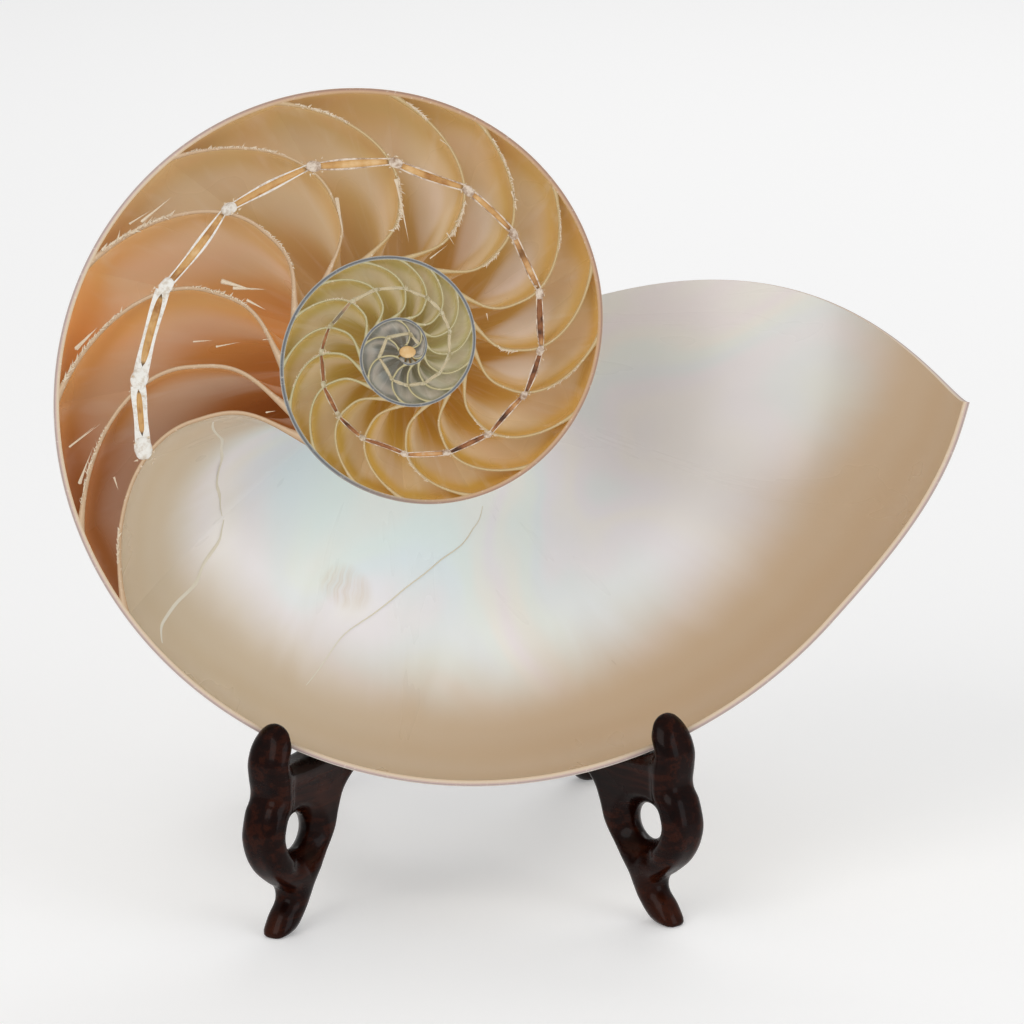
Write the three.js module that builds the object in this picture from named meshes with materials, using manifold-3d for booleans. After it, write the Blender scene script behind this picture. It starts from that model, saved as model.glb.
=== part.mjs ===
// Half of a chambered nautilus shell, sawn along its middle plane, on a two-board carved stand.
//
// Millimetres, +Z up, +X to the right, -Y towards the viewer. The sawn face looks towards -Y and
// leans back. The stand is two carved boards that cross in an X behind the shell and lock together
// with a half lap. The shell half only rests on it.

import * as THREE from 'three';
import Module from 'manifold-3d';

const wasm = await Module();
wasm.setup();

// Shell: radius of the spiral at each quarter turn
// The first radius is in the earliest chambers. Angles are in degrees, anticlockwise from +X as the
// sawn face is seen, and the last whorl runs from -5 to 355.
const firstQuarterTurn = -810;
const quarterTurnRadii = [
  2.4, 3.4, 6.0, 8.6, 9.9, 12.2, 17.1, 22.9, 27.3, 34.9, 46.9, 63.2, 77.8, 101.0, 136.0,
];
const radiusGrowthBeforeFirst = 0.35;
const lipFlare = 0.033;
const flareStart = 328;
const flareEnd = 352;
const lastWhorlStart = -15;
const lastWhorlMiddle = 175;
const whorlStep = 10;
const lipAngle = 355;
const beyondLip = 12;
const lipSweep = 23;
const lipSweepCentre = 0.25;
const lipSweepStart = 290;

// Shell: the outline of a whorl across its width, as shares of the spiral radius
const widestShare = 0.42;
const halfWidthShare = 0.40;
const umbilicusShare = 0.16;
const outsideGirths = [-8, 9, 27, 46, 67, 92, 118, 145, 171];
const livingGirths = outsideGirths.slice(0, -1);
const chamberGirths = [-8, 20, 50, 82, 115, 148];
const floorLift = 0.2;

// Shell: wall and septum thickness, as factor times radius to a power
const wallFactor = 0.30;
const wallPower = 0.3;
const septumFactor = 0.24;
const septumPower = 0.27;

// Septa: the neck nearest the living chamber, and the step in degrees to each older one
const firstNeckAngle = 198;
const neckSteps = [
  14, 21, 23, 24, 23, 24, 21, 24, 23, 21, 25, 23, 23, 26, 20, 21, 21, 19, 24, 21, 25, 22,
  20, 23, 30, 30, 29, 28, 29, 50, 46, 63, 50, 75,
];
const hollowChambers = 32;
const septumBackShare = 0.42;
const ventralLead = 24;
const ventralPower = 1.9;
const dorsalLead = 21;
const dorsalPower = 3.6;
const flankLead = 13;
const flankRimLead = 9;

// Siphuncle: the tube that runs through every septum
const siphuncleShare = 0.49;
const siphuncleRise = 0.145;
const siphuncleRiseStart = -200;
const siphuncleRiseSpan = 400;
const siphuncleRadiusShare = 0.0155;
const siphuncleLeastRadius = 0.3;

// Columella: the solid core on the coiling axis
const coreRadius = 0.3;
const columellaRadius = 0.9;
const columellaDepth = 14;

// How the shell stands
const leanBack = 15;
const turnInPlane = 1.5;
const poleDepth = 26.3;
const poleHeight = 103.5;
const poleOffset = -9.75;

// Stand: two boards, each turned from the depth axis
const boardTurn = 35;
const boardThickness = 8.5;
const boardLength = 124;
const standHalfWidth = 39.55;
const ankleThickness = 6.0;
const ankleTop = 11;
const edgeRound = 2.2;
const edgeRoundReach = 1.2;
const contactGap = 0.3;
const seatGap = 0.48;
const lapHeight = 46;
const lapReach = 40;

// Stand: outlines as distance along the board and height. The leg is the same at both ends.
const toe = [[9.4, 0.0], [4.2, 0.0], [6.1, 3.8], [8.6, 6.2]];
const lowerBulge = [
  [8.7, 8.0], [6.5, 9.7], [3.3, 12.3], [1.1, 15.4], [0.0, 18.9], [0.2, 21.5], [1.4, 25.0],
];
const notch = [[2.9, 27.1]];
const hook = [
  [2.5, 30.1], [2.3, 33.2], [3.5, 36.3], [5.2, 38.9], [7.3, 40.1], [8.7, 38.9], [8.6, 36.1], [8.0, 32.6],
];
const saddle = [[16.0, 31.9], [26.0, 32.9], [36.0, 35.0]];
const upright = [
  [45.0, 37.1], [52.5, 43.9], [56.0, 54.3], [57.5, 64.8], [60.5, 73.1], [66.0, 75.8], [71.5, 72.6],
  [73.5, 63.7], [76.0, 52.2], [83.0, 43.4], [94.0, 38.1],
];
const rearScroll = [[4.0, 27.2], [2.4, 29.9], [2.6, 33.9], [6.5, 37.6], [14.0, 38.7]];
const calf = [
  [13.2, 3.0], [14.9, 5.6], [15.6, 8.6], [17.4, 10.9], [20.2, 13.6], [22.5, 16.6],
  [23.8, 20.1], [25.7, 23.4],
];
const armUnderside = [[29.8, 25.9], [37.0, 25.0], [50.0, 21.4], [66.0, 19.9], [84.0, 21.4], [95.0, 25.1]];
const windowCentre = [11.7, 18.5];
const windowHalf = [5.6, 4.7];
const windowSlant = -18;
const windowSides = 12;

const shellMaterial = new THREE.MeshStandardMaterial({ color: 0xe3cfae, roughness: 0.3, metalness: 0 });
const standMaterial = new THREE.MeshStandardMaterial({ color: 0x3a1a12, roughness: 0.28, metalness: 0 });

const radians = THREE.MathUtils.degToRad;
const mix = THREE.MathUtils.lerp;
const ease = THREE.MathUtils.smoothstep;

// The spiral grows smoothly from one quarter-turn radius to the next, on a logarithmic scale.
function spiralRadius(angle) {
  const turns = (angle - firstQuarterTurn) / 90;
  if (turns < 0) {
    return quarterTurnRadii[0] * Math.exp(turns * radiusGrowthBeforeFirst);
  }
  const last = quarterTurnRadii.length - 1;
  const step = Math.min(Math.floor(turns), last - 1);
  const part = turns - step;
  const [a, b, c, d] = [-1, 0, 1, 2].map((shift) => {
    return Math.log(quarterTurnRadii[THREE.MathUtils.clamp(step + shift, 0, last)]);
  });
  const square = 2 * a - 5 * b + 4 * c - d;
  const cube = 3 * (b - c) + d - a;
  const logRadius = b + 0.5 * part * (c - a + part * (square + part * cube));
  return Math.exp(logRadius) * (1 + lipFlare * ease(angle, flareStart, flareEnd));
}

function wallThickness(angle) {
  return wallFactor * spiralRadius(angle) ** wallPower;
}

// A point on the whorl's outline across its width: girth 0 is the outer middle line, 90 the widest
// place and 180 the coiling axis. The inset moves it in from the outer surface.
function whorlOutline(angle, girth, inset) {
  const radius = spiralRadius(angle);
  const turn = radians(girth);
  const outerPart = girth <= 90;
  const reach = outerPart ? 1 - widestShare : widestShare;
  const rise = outerPart ? halfWidthShare : halfWidthShare - umbilicusShare;
  const base = outerPart ? 0 : umbilicusShare;
  const normal = new THREE.Vector2(rise * Math.cos(turn), reach * Math.sin(turn)).normalize();
  return {
    out: radius * (widestShare + reach * Math.cos(turn)) - inset * normal.x,
    deep: radius * (base + rise * Math.sin(turn)) - inset * normal.y,
  };
}

function placeOnSpiral(angle, outline) {
  const turn = radians(angle);
  return new THREE.Vector3(outline.out * Math.cos(turn), outline.deep, outline.out * Math.sin(turn));
}

// The lip runs ahead of the outer middle line on the flank.
function lipLead(angle, girth) {
  const share = whorlOutline(lipAngle, girth, 0).out / spiralRadius(lipAngle);
  const across = (share - lipSweepCentre) / (1 - lipSweepCentre);
  return lipSweep * (1 - across * across) * ease(angle, lipSweepStart, lipAngle);
}

// The skin of a block whose points are given by three steps: along, up and across.
function blockGeometry(alongSteps, upSteps, acrossSteps, pointAt) {
  const points = [];
  const faces = [];
  const addSkin = (rows, columns, place) => {
    const start = points.length / 3;
    rows.forEach((row) => columns.forEach((column) => points.push(...place(row, column).toArray())));
    for (let i = 0; i + 1 < rows.length; i += 1) {
      for (let j = 0; j + 1 < columns.length; j += 1) {
        const k = start + i * columns.length + j;
        const below = k + columns.length;
        faces.push(k, below, below + 1, k, below + 1, k + 1);
      }
    }
  };
  const [back, front] = [alongSteps[0], alongSteps.at(-1)];
  const [floor, roof] = [upSteps[0], upSteps.at(-1)];
  const [near, far] = [acrossSteps[0], acrossSteps.at(-1)];
  addSkin(upSteps, acrossSteps, (up, across) => pointAt(back, up, across));
  addSkin(acrossSteps, upSteps, (across, up) => pointAt(front, up, across));
  addSkin(acrossSteps, alongSteps, (across, along) => pointAt(along, floor, across));
  addSkin(alongSteps, acrossSteps, (along, across) => pointAt(along, roof, across));
  addSkin(alongSteps, upSteps, (along, up) => pointAt(along, up, near));
  addSkin(upSteps, alongSteps, (up, along) => pointAt(along, up, far));
  const geometry = new THREE.BufferGeometry();
  geometry.setAttribute('position', new THREE.Float32BufferAttribute(points, 3));
  geometry.setIndex(faces);
  return geometry;
}

// A closed sheet between two grids of points, front and back, with its four edges filled.
function sheetGeometry(rows, columns, frontPoint, backPoint) {
  const points = [];
  for (const side of [frontPoint, backPoint]) {
    for (const row of rows) {
      for (const column of columns) {
        points.push(...side(row, column).toArray());
      }
    }
  }
  const across = columns.length;
  const layer = rows.length * across;
  const faces = [];
  const quad = (a, b, c, d) => faces.push(a, b, c, a, c, d);
  for (let i = 0; i + 1 < rows.length; i += 1) {
    for (let j = 0; j + 1 < across; j += 1) {
      const k = i * across + j;
      quad(k, k + across, k + across + 1, k + 1);
      quad(layer + k, layer + k + 1, layer + k + across + 1, layer + k + across);
    }
    const near = i * across;
    const far = near + across - 1;
    quad(near, layer + near, layer + near + across, near + across);
    quad(far, far + across, layer + far + across, layer + far);
  }
  const top = layer - across;
  for (let j = 0; j + 1 < across; j += 1) {
    quad(j, j + 1, layer + j + 1, layer + j);
    quad(top + j, layer + top + j, layer + top + j + 1, top + j + 1);
  }
  const geometry = new THREE.BufferGeometry();
  geometry.setAttribute('position', new THREE.Float32BufferAttribute(points, 3));
  geometry.setIndex(faces);
  return geometry;
}

// A closed rod through rings of points of equal count.
function rodGeometry(rings) {
  const sides = rings[0].length;
  const points = rings.flat().flatMap((point) => point.toArray());
  const faces = [];
  for (let i = 0; i + 1 < rings.length; i += 1) {
    for (let j = 0; j < sides; j += 1) {
      const next = (j + 1) % sides;
      const [a, b] = [i * sides + j, i * sides + next];
      faces.push(a, b, b + sides, a, b + sides, a + sides);
    }
  }
  const last = (rings.length - 1) * sides;
  for (let j = 1; j + 1 < sides; j += 1) {
    faces.push(0, j + 1, j, last, last + j, last + j + 1);
  }
  const geometry = new THREE.BufferGeometry();
  geometry.setAttribute('position', new THREE.Float32BufferAttribute(points, 3));
  geometry.setIndex(faces);
  return geometry;
}

function enclosedVolume(points, faces) {
  let total = 0;
  const corner = (index) => new THREE.Vector3().fromArray(points, 3 * index);
  for (let i = 0; i < faces.length; i += 3) {
    total += corner(faces[i]).dot(corner(faces[i + 1]).cross(corner(faces[i + 2]))) / 6;
  }
  return total;
}

// The vertices are welded by place, and faces that look inwards are turned round.
function toSolid(geometry) {
  const source = geometry.getAttribute('position').array;
  const order = geometry.getIndex() ? [...geometry.getIndex().array] : [...Array(source.length / 3).keys()];
  const seen = new Map();
  const points = [];
  const welded = order.map((index) => {
    const place = [0, 1, 2].map((axis) => source[3 * index + axis]);
    const key = place.map((value) => Math.round(value * 1e4)).join(' ');
    if (!seen.has(key)) {
      seen.set(key, points.length / 3);
      points.push(...place);
    }
    return seen.get(key);
  });
  const faces = [];
  for (let i = 0; i < welded.length; i += 3) {
    const [a, b, c] = welded.slice(i, i + 3);
    if (a !== b && b !== c && c !== a) {
      faces.push(a, b, c);
    }
  }
  if (enclosedVolume(points, faces) < 0) {
    faces.reverse();
  }
  const mesh = new wasm.Mesh({
    numProp: 3,
    vertProperties: new Float32Array(points),
    triVerts: new Uint32Array(faces),
  });
  return new wasm.Manifold(mesh);
}

function toGeometry(solid) {
  const mesh = solid.getMesh();
  const geometry = new THREE.BufferGeometry();
  geometry.setAttribute('position', new THREE.BufferAttribute(mesh.vertProperties, 3));
  geometry.setIndex(new THREE.BufferAttribute(mesh.triVerts, 1));
  geometry.computeVertexNormals();
  return geometry;
}

function evenSteps(from, to, count) {
  return Array.from({ length: count + 1 }, (_, i) => mix(from, to, i / count));
}

// The outside of the shell between two angles, solid down to the coiling axis
function buildWhorlPart(from, to) {
  const outside = (angle, girth) => {
    const place = angle + lipLead(angle, girth);
    return placeOnSpiral(place, whorlOutline(place, girth, 0));
  };
  const core = (angle, girth) => {
    const outline = whorlOutline(angle, girth, 0);
    return placeOnSpiral(angle, { out: coreRadius, deep: 0.5 * outline.deep });
  };
  const angles = evenSteps(from, to, (to - from) / whorlStep);
  return toSolid(sheetGeometry(angles, outsideGirths, outside, core));
}

// A point in the hollow of a whorl: share 0 lies on the older whorl below, 1 inside the outer wall.
function hollowPoint(angle, share, girth) {
  const floor = whorlOutline(angle - 360, girth, 0);
  const roof = whorlOutline(angle, girth, wallThickness(angle));
  return placeOnSpiral(angle, { out: mix(floor.out, roof.out, share), deep: mix(floor.deep, roof.deep, share) });
}

// How far a septum runs ahead of its neck, in degrees. It is set back furthest near its middle.
function septumLead(share, girth) {
  const ventral = Math.max(0, (share - septumBackShare) / (1 - septumBackShare));
  const dorsal = Math.max(0, (septumBackShare - share) / septumBackShare);
  const median = ventralLead * ventral ** ventralPower + dorsalLead * dorsal ** dorsalPower;
  const flank = flankLead + flankRimLead * (2 * share - 1) ** 2;
  return mix(median, flank, Math.sin(radians(Math.min(girth, 90))) ** 2);
}

// The angle of a septum's face. Side 1 is the face towards the living chamber, -1 the other, and
// the half thickness is measured square to the septum.
function septumFaceAngle(neckAngle, share, girth, side) {
  const middle = (up, across) => neckAngle + septumLead(up, across);
  const pointAt = (up, across) => hollowPoint(middle(up, across), up, across);
  const here = pointAt(share, girth);
  const inward = share > 0.5 ? -0.01 : 0.01;
  const along = pointAt(share + inward, girth).sub(here);
  const over = pointAt(share, girth + 1).sub(here);
  const onward = hollowPoint(middle(share, girth) + 1, share, girth).sub(here);
  const square = Math.abs(along.cross(over).normalize().dot(onward));
  const half = 0.5 * septumFactor * spiralRadius(neckAngle) ** septumPower;
  return middle(share, girth) + side * half / square;
}

// The hollow between two septa
function buildChamber(newerNeck, olderNeck) {
  const radius = spiralRadius(newerNeck);
  const alongSteps = evenSteps(0, 1, radius > 12 ? 2 : 1);
  const upSteps = evenSteps(0, 1, radius > 30 ? 4 : 3);
  return toSolid(blockGeometry(alongSteps, upSteps, chamberGirths, (along, up, across) => {
    const from = septumFaceAngle(olderNeck, up, across, 1);
    const to = septumFaceAngle(newerNeck, up, across, -1);
    return hollowPoint(mix(from, to, along), up, across);
  }));
}

// The living chamber, from the last septum out through the lip
function buildLivingChamber() {
  const upSteps = evenSteps(0, 1, 4);
  return toSolid(blockGeometry(evenSteps(0, 1, 14), upSteps, livingGirths, (along, up, across) => {
    const from = septumFaceAngle(firstNeckAngle, up, across, 1);
    const to = lipAngle + lipLead(lipAngle, across) + beyondLip;
    const angle = mix(from, to, along);
    const floor = whorlOutline(angle - 360, across, -floorLift);
    const roof = whorlOutline(angle, across, wallThickness(angle));
    return placeOnSpiral(angle, { out: mix(floor.out, roof.out, up), deep: mix(floor.deep, roof.deep, up) });
  }));
}

function siphuncleCentre(angle) {
  const later = Math.max(0, (angle - siphuncleRiseStart) / siphuncleRiseSpan);
  const share = siphuncleShare + siphuncleRise * later * later;
  return mix(spiralRadius(angle - 360), spiralRadius(angle), share);
}

// The tube goes straight from neck to neck.
function buildSiphuncle(neckAngles) {
  const sides = 4;
  const rings = neckAngles.map((angle) => {
    const turn = radians(angle);
    const thick = Math.max(siphuncleLeastRadius, siphuncleRadiusShare * spiralRadius(angle));
    const outward = new THREE.Vector3(Math.cos(turn), 0, Math.sin(turn));
    const centre = outward.clone().multiplyScalar(siphuncleCentre(angle));
    return evenSteps(0, 2 * Math.PI, sides).slice(0, -1).map((around) => {
      const side = outward.clone().multiplyScalar(thick * Math.cos(around));
      return centre.clone().add(side).add(new THREE.Vector3(0, thick * Math.sin(around), 0));
    });
  });
  return toSolid(rodGeometry(rings));
}

function buildColumella() {
  const core = new THREE.CylinderGeometry(columellaRadius, columellaRadius, columellaDepth + 2, 8);
  return toSolid(core.translate(0, columellaDepth / 2, 0));
}

function buildShellHalf() {
  const neckAngles = [firstNeckAngle];
  neckSteps.forEach((step) => neckAngles.push(neckAngles.at(-1) - step));
  const outside = wasm.Manifold.union([
    buildWhorlPart(lastWhorlStart, lastWhorlMiddle + whorlStep),
    buildWhorlPart(lastWhorlMiddle, lipAngle),
  ]);
  const chambers = evenSteps(0, hollowChambers - 1, hollowChambers - 1).map((i) => {
    return buildChamber(neckAngles[i], neckAngles[i + 1]);
  });
  const hollows = wasm.Manifold.union([buildLivingChamber(), ...chambers]);
  const grown = outside.subtract(hollows).add(buildColumella()).add(buildSiphuncle(neckAngles));
  const sawnOff = new THREE.BoxGeometry(400, 60, 400).translate(0, -30, 0);
  return grown.subtract(toSolid(sawnOff));
}

// The space the lower shell takes up, a contact gap larger all round
function buildShellRoom() {
  const angles = evenSteps(215, 345, 20);
  const girths = [0, 8, 16, 24, 33, 42, 52, 62, 73, 84, 96, 108, 120];
  const surface = (angle, girth) => {
    const room = whorlOutline(angle, girth, -seatGap);
    room.deep = girth === 0 ? -seatGap : room.deep;
    return room;
  };
  const outer = (angle, girth) => placeOnSpiral(angle, surface(angle, girth));
  const core = (angle, girth) => {
    const room = surface(angle, girth);
    return placeOnSpiral(angle, { out: 0.4 * room.out, deep: mix(-seatGap, room.deep, 0.4) });
  };
  return sheetGeometry(angles, girths, outer, core);
}

const poleMatrix = new THREE.Matrix4().makeRotationX(radians(-leanBack));
poleMatrix.multiply(new THREE.Matrix4().makeRotationY(radians(turnInPlane)));
poleMatrix.setPosition(poleOffset, poleDepth, poleHeight);

// Boards are drawn as distance along the board and height, and cut from a plank of even thickness.
function boardOutline() {
  const atRear = ([along, height]) => [boardLength - along, height];
  const rearLeg = [...rearScroll].reverse().concat([...lowerBulge].reverse(), [...toe].reverse());
  const front = [...toe, ...lowerBulge, ...notch, ...hook, ...saddle, ...upright];
  const rear = [...rearLeg, ...calf].map(atRear);
  const under = [...armUnderside].reverse().concat([...calf].reverse());
  return [...front, ...rear, ...under].map(([along, height]) => new THREE.Vector2(along, height));
}

function addWindow(shape, mirrored) {
  const [along, height] = windowCentre;
  const centre = mirrored ? boardLength - along : along;
  const slant = mirrored ? -windowSlant : windowSlant;
  const oval = new THREE.EllipseCurve(centre, height, ...windowHalf, 0, 2 * Math.PI, false, radians(slant));
  shape.holes.push(new THREE.Path(oval.getPoints(windowSides).slice(0, -1)));
}

// The ankle and toe are carved thinner than the board.
function thinAnkles(geometry) {
  const place = geometry.getAttribute('position');
  for (let i = 0; i < place.count; i += 1) {
    const share = mix(ankleThickness / boardThickness, 1, ease(place.getY(i), 0.4 * ankleTop, ankleTop));
    place.setZ(i, place.getZ(i) * share);
  }
}

// Side is -1 for the board whose front leg is on the left, 1 for the other.
function boardMatrix(side) {
  const along = new THREE.Vector3(-side * Math.sin(radians(boardTurn)), Math.cos(radians(boardTurn)), 0);
  const up = new THREE.Vector3(0, 0, 1);
  const matrix = new THREE.Matrix4().makeBasis(along, up, along.clone().cross(up));
  return matrix.setPosition(side * standHalfWidth, 0, 0);
}

function buildPlank(side) {
  const shape = new THREE.Shape().setFromPoints(boardOutline());
  addWindow(shape, false);
  addWindow(shape, true);
  const geometry = new THREE.ExtrudeGeometry(shape, {
    depth: boardThickness - 2 * edgeRound,
    bevelThickness: edgeRound,
    bevelSize: edgeRoundReach,
    bevelOffset: -edgeRoundReach,
    bevelSegments: 1,
  });
  geometry.translate(0, 0, edgeRound - boardThickness / 2);
  thinAnkles(geometry);
  return toSolid(geometry.applyMatrix4(boardMatrix(side)));
}

// The slot for the other board: open at the top of one board and at the foot of the other.
function lapSlot(side) {
  const crossing = standHalfWidth / Math.sin(radians(boardTurn));
  const low = side < 0 ? lapHeight - contactGap / 2 : lapHeight + contactGap / 2 - lapReach;
  const slot = new THREE.BoxGeometry(3 * boardThickness, lapReach, boardThickness + 2 * contactGap);
  slot.translate(crossing, low + lapReach / 2, 0);
  return toSolid(slot.applyMatrix4(boardMatrix(-side)));
}

function buildBoard(side) {
  const shellRoom = toSolid(buildShellRoom().applyMatrix4(poleMatrix));
  return buildPlank(side).subtract(lapSlot(side)).subtract(shellRoom);
}

const nautilusOnStand = new THREE.Group();

const shellHalf = new THREE.Mesh(toGeometry(buildShellHalf()), shellMaterial);
shellHalf.name = 'shell_half';
shellHalf.applyMatrix4(poleMatrix);
nautilusOnStand.add(shellHalf);

const boardNames = [['stand_board_left', -1], ['stand_board_right', 1]];
boardNames.forEach(([name, side]) => {
  const board = new THREE.Mesh(toGeometry(buildBoard(side)), standMaterial);
  board.name = name;
  nautilusOnStand.add(board);
});

// The origin is under the middle of the whole object, on the surface it stands on.
const extent = new THREE.Box3().setFromObject(nautilusOnStand, true);
const middle = extent.getCenter(new THREE.Vector3());
nautilusOnStand.position.set(-middle.x, -middle.y, -extent.min.z);
nautilusOnStand.updateMatrixWorld(true);

export default nautilusOnStand;
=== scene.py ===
# %% [markdown]
# # Half a nautilus shell on its carved stand
# A chambered nautilus shell, sawn along its middle plane, leans back on two carved boards of dark
# wood that cross behind it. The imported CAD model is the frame, and finer pieces replace its nodes.

# %%
import math

import bpy
import numpy as np
from mathutils import Matrix, Vector


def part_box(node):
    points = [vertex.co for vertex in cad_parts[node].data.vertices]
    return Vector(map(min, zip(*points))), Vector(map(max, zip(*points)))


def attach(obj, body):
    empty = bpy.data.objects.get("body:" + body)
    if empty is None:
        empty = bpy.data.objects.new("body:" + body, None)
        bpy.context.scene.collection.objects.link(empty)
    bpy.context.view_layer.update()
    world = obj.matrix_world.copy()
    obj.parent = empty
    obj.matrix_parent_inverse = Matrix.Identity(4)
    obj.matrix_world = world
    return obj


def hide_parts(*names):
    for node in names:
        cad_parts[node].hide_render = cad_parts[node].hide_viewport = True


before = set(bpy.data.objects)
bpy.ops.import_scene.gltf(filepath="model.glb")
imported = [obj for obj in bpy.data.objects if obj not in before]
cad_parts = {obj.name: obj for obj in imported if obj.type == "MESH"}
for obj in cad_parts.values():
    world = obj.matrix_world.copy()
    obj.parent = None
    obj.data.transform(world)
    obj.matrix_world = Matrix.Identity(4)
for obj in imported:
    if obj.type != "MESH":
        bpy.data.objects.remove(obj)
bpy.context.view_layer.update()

detail = 1.0

# %% [markdown]
# ## Measures
# All measures are in millimetres and degrees, as in the CAD source.

# %%
FIRST_QUARTER = -810
QUARTER_RADII = np.array([2.4, 3.4, 6.0, 8.6, 9.9, 12.2, 17.1, 22.9, 27.3, 34.9, 46.9, 63.2, 77.8,
                          101.0, 136.0])
EARLY_GROWTH = 0.35
LIP_FLARE, FLARE_START, FLARE_END = 0.033, 328, 352
LAST_WHORL, LIP = -5, 355
LIP_SWEEP, LIP_CENTRE, SWEEP_START = 23, 0.25, 290
WIDEST, HALF_WIDTH, UMBILICUS = 0.42, 0.40, 0.16
WALL_FACTOR, WALL_POWER = 0.30, 0.3
SEPTUM_FACTOR, SEPTUM_POWER = 0.24, 0.27
THINNER_FROM_NECK, THINNER_SHARE = 120, 0.75
FIRST_NECK = 198
NECK_STEPS = [14, 21, 23, 24, 23, 24, 21, 24, 23, 21, 25, 23, 23, 26, 20, 21, 21, 19, 24, 21, 25, 22,
              20, 23, 30, 30, 29, 28, 29, 50, 46, 63, 50, 75]
NECKS = np.concatenate([[FIRST_NECK], FIRST_NECK - np.cumsum(NECK_STEPS)])
BACK_SHARE = 0.42
VENTRAL_LEAD, VENTRAL_POWER = 24, 1.9
DORSAL_LEAD, DORSAL_POWER = 21, 3.6
FLANK_LEAD, FLANK_RIM_LEAD = 13, 9
TUBE_SHARE, TUBE_RISE, TUBE_RISE_START, TUBE_RISE_SPAN = 0.49, 0.145, -200, 400
TUBE_RADIUS_SHARE, TUBE_LEAST = 0.0205, 0.36
LEAN, TURN_IN_PLANE = math.radians(15), math.radians(1.5)
MM = 0.001

POLE_PIXEL, TIP_PIXEL, TIP_ANGLE = (407.5, 352), (970, 401), 355

BOARD_TURN = math.radians(35)
BOARD_LENGTH, BOARD_THICKNESS, HALF_SPAN = 124, 8.5, 39.55
ANKLE_THICKNESS, ANKLE_TOP = 6.0, 11
LAP_HEIGHT, CONTACT_GAP = 46, 0.3

# %% [markdown]
# ## The shell's form
# The spiral grows smoothly through its quarter-turn radii. Girth goes round a whorl: 0 is the outer
# middle line on the sawn face, 90 the widest place and 180 the coiling axis.

# %%
def ease(value, low, high):
    t = np.clip((np.asarray(value, float) - low) / (high - low), 0, 1)
    return t * t * (3 - 2 * t)


def spiral_radius(angle):
    angle = np.asarray(angle, float)
    turns = (angle - FIRST_QUARTER) / 90
    last = len(QUARTER_RADII) - 1
    step = np.clip(np.floor(turns), 0, last - 1).astype(int)
    part = turns - step
    logs = np.log(QUARTER_RADII)
    a, b, c, d = (logs[np.clip(step + shift, 0, last)] for shift in (-1, 0, 1, 2))
    curve = b + 0.5 * part * (c - a + part * (2 * a - 5 * b + 4 * c - d + part * (3 * (b - c) + d - a)))
    curve = np.where(turns < 0, logs[0] + turns * EARLY_GROWTH, curve)
    return np.exp(curve) * (1 + LIP_FLARE * ease(angle, FLARE_START, FLARE_END))


def wall_thickness(angle):
    return WALL_FACTOR * spiral_radius(angle) ** WALL_POWER


def whorl_outline(angle, girth, inset=0.0):
    radius = spiral_radius(angle)
    turn = np.radians(girth)
    outer = np.asarray(girth) <= 90
    reach = np.where(outer, 1 - WIDEST, WIDEST)
    rise = np.where(outer, HALF_WIDTH, HALF_WIDTH - UMBILICUS)
    base = np.where(outer, 0.0, UMBILICUS)
    across, along = rise * np.cos(turn), reach * np.sin(turn)
    size = np.hypot(across, along)
    out = radius * (WIDEST + reach * np.cos(turn)) - inset * across / size
    deep = radius * (base + rise * np.sin(turn)) - inset * along / size
    return out, deep


def on_spiral(angle, out, deep):
    turn = np.radians(angle)
    return np.stack(np.broadcast_arrays(out * np.cos(turn), deep, out * np.sin(turn)), -1)


def lip_lead(angle, girth):
    share = whorl_outline(LIP, girth)[0] / spiral_radius(LIP)
    across = (share - LIP_CENTRE) / (1 - LIP_CENTRE)
    return LIP_SWEEP * (1 - across**2) * ease(angle, SWEEP_START, LIP)


def hollow_point(angle, share, girth):
    floor = whorl_outline(angle - 360, girth)
    roof = whorl_outline(angle, girth, wall_thickness(angle))
    out = floor[0] + (roof[0] - floor[0]) * share
    deep = floor[1] + (roof[1] - floor[1]) * share
    return on_spiral(angle, out, deep)


def septum_lead(share, girth):
    ventral = np.maximum(0, (share - BACK_SHARE) / (1 - BACK_SHARE))
    dorsal = np.maximum(0, (BACK_SHARE - share) / BACK_SHARE)
    median = VENTRAL_LEAD * ventral**VENTRAL_POWER + DORSAL_LEAD * dorsal**DORSAL_POWER
    flank = FLANK_LEAD + FLANK_RIM_LEAD * (2 * share - 1) ** 2
    mixing = np.sin(np.radians(np.minimum(girth, 90))) ** 2
    return median + (flank - median) * mixing


def septum_face(neck, share, girth, side):
    """The angle of a septum's face. Side 1 looks towards the living chamber, -1 the other way."""
    def at(up, across):
        return hollow_point(neck + septum_lead(up, across), up, across)

    share, girth = np.broadcast_arrays(np.asarray(share, float), np.asarray(girth, float))
    inward = np.where(share > 0.5, -0.01, 0.01)
    here = at(share, girth)
    normal = np.cross(at(share + inward, girth) - here, at(share, girth + 1) - here)
    normal /= np.linalg.norm(normal, axis=-1, keepdims=True)
    middle = neck + septum_lead(share, girth)
    square = np.abs(np.sum(normal * (hollow_point(middle + 1, share, girth) - here), -1))
    thicker = 1 + 1.1 * np.exp(-share / 0.035) + 0.9 * np.exp(-(1 - share) / 0.03)
    half = 0.5 * SEPTUM_FACTOR * spiral_radius(neck) ** SEPTUM_POWER * thicker
    if neck < THINNER_FROM_NECK:
        half = half * THINNER_SHARE
    return middle + side * half / square


def tube_centre(angle):
    later = np.maximum(0, (angle - TUBE_RISE_START) / TUBE_RISE_SPAN)
    share = TUBE_SHARE + TUBE_RISE * later**2
    floor = spiral_radius(angle - 360)
    return floor + (spiral_radius(angle) - floor) * share


print("necks from", NECKS[0], "to", NECKS[-1], "; lip radius", round(float(spiral_radius(LIP)), 1))

# %% [markdown]
# ## From the shell's own frame to the row frame
# The shell leans back, and its own box is laid on the box of the CAD node that it replaces.

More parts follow.
